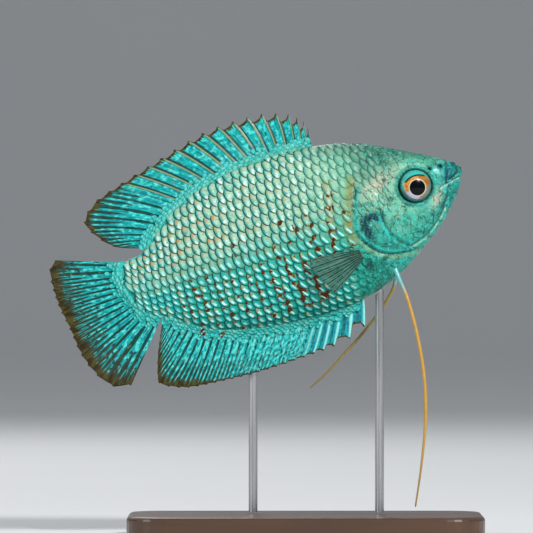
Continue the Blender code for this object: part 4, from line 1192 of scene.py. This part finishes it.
def make_floor():
    """A pale floor whose far edge curves up into a wall all round, so that no horizon shows."""
    bm = bmesh.new()
    line = [(0.0, 0.0), (FLOOR_FLAT, 0.0)]
    for a in np.linspace(0.1, math.pi / 2, 12):
        line.append((FLOOR_FLAT + WALL_BEND * math.sin(a), WALL_BEND * (1 - math.cos(a))))
    line.append((FLOOR_FLAT + WALL_BEND, WALL_TOP))
    verts = [bm.verts.new((x, 0, z)) for x, z in line]
    edges = [bm.edges.new(pair) for pair in zip(verts, verts[1:])]
    bmesh.ops.spin(
        bm, geom=verts + edges, axis=(0, 0, 1), cent=(0, 0, 0), angle=2 * math.pi, steps=96, use_merge=True
    )
    bmesh.ops.remove_doubles(bm, verts=bm.verts, dist=1e-5)
    bmesh.ops.recalc_face_normals(bm, faces=bm.faces)
    mesh = new_mesh("floor", bm)
    mesh.shade_smooth()
    look = Look("pale_floor", Roughness=0.75)
    cloud = look.noise(look.place(), 6.0, 3.0)
    look.set(Base_Color=look.coats((0.74, 0.75, 0.76), (cloud, (0.78, 0.79, 0.80))))
    mesh.materials.append(look.material)
    floor = add_object("floor", mesh)


def area_light(name, at, size, power):
    data = bpy.data.lights.new(name, "AREA")
    data.shape = "DISK"
    data.size = size
    data.energy = power
    lamp = add_object(name, data)
    lamp.location = at
    lamp.rotation_euler = (Vector(LIGHT_AIM) - Vector(at)).to_track_quat("-Z", "Y").to_euler()


def light_studio():
    world = bpy.data.worlds.new("studio")
    world.use_nodes = True
    sky = world.node_tree.nodes["Background"].inputs
    sky["Color"].default_value = (0.92, 0.96, 1.0, 1)
    sky["Strength"].default_value = 0.36
    bpy.context.scene.world = world
    bpy.context.scene.view_settings.view_transform = "Standard"
    area_light("key", (0.38, -0.55, 0.5), 0.14, 6.0)
    area_light("fill", (-0.7, -0.4, 0.3), 0.4, 1.6)
    area_light("back", (-0.2, 0.6, 0.5), 0.4, 1.8)


def place_camera():
    data = bpy.data.cameras.new("camera")
    data.lens = LENS
    data.sensor_width = 36.0
    data.clip_start = 0.01
    camera = add_object("camera", data)
    camera.location = CAMERA_AT
    camera.rotation_euler = (math.pi / 2, 0, 0)
    bpy.context.scene.camera = camera


def corners(box):
    return [[float(v) for v in corner] for corner in box]


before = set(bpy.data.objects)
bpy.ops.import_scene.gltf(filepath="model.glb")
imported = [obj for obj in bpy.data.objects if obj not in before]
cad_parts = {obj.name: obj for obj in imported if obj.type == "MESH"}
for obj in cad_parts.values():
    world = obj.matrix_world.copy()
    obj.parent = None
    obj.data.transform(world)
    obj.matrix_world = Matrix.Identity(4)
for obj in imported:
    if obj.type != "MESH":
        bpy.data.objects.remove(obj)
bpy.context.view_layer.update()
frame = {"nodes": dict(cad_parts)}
draw = np.random.default_rng(7)
scale_paint = scale_look()

make_skin()
for side in SIDES:
    make_scales(side, scale_paint, draw)
make_foot_scales(scale_paint, draw)
for name, fin, *tones in FIN_TONES:
    make_fin(f"fish_{name}_fin", fin, fin_look(f"{name}_paint", fin, *tones), "fin", f"{name}_fin")
clear_paint = clear_fin_look()
for side, name in SIDES.items():
    make_fin(
        f"fish_pectoral_fin_{name}", PECTORAL, clear_paint, "clear_fin", f"pectoral_fin_{name}",
        lambda reach, side=side: side * (4.3 + 2.6 * (1 - np.exp(-reach / 3.5))),
    )
eye_paint = eye_look()
for side in SIDES:
    make_eye(side, eye_paint)
make_feeler(-1, NEAR_FEELER, feeler_look("near_feeler", (0.42, 0.21, 0.02), (0.66, 0.38, 0.06)))
# Painted shade: the far feeler gets the near one's colours, darkened.
make_feeler(1, FAR_FEELER, feeler_look("far_feeler_shaded", (0.22, 0.15, 0.03), (0.36, 0.27, 0.07)))
dress_stand(frame)
make_floor()
light_studio()
place_camera()
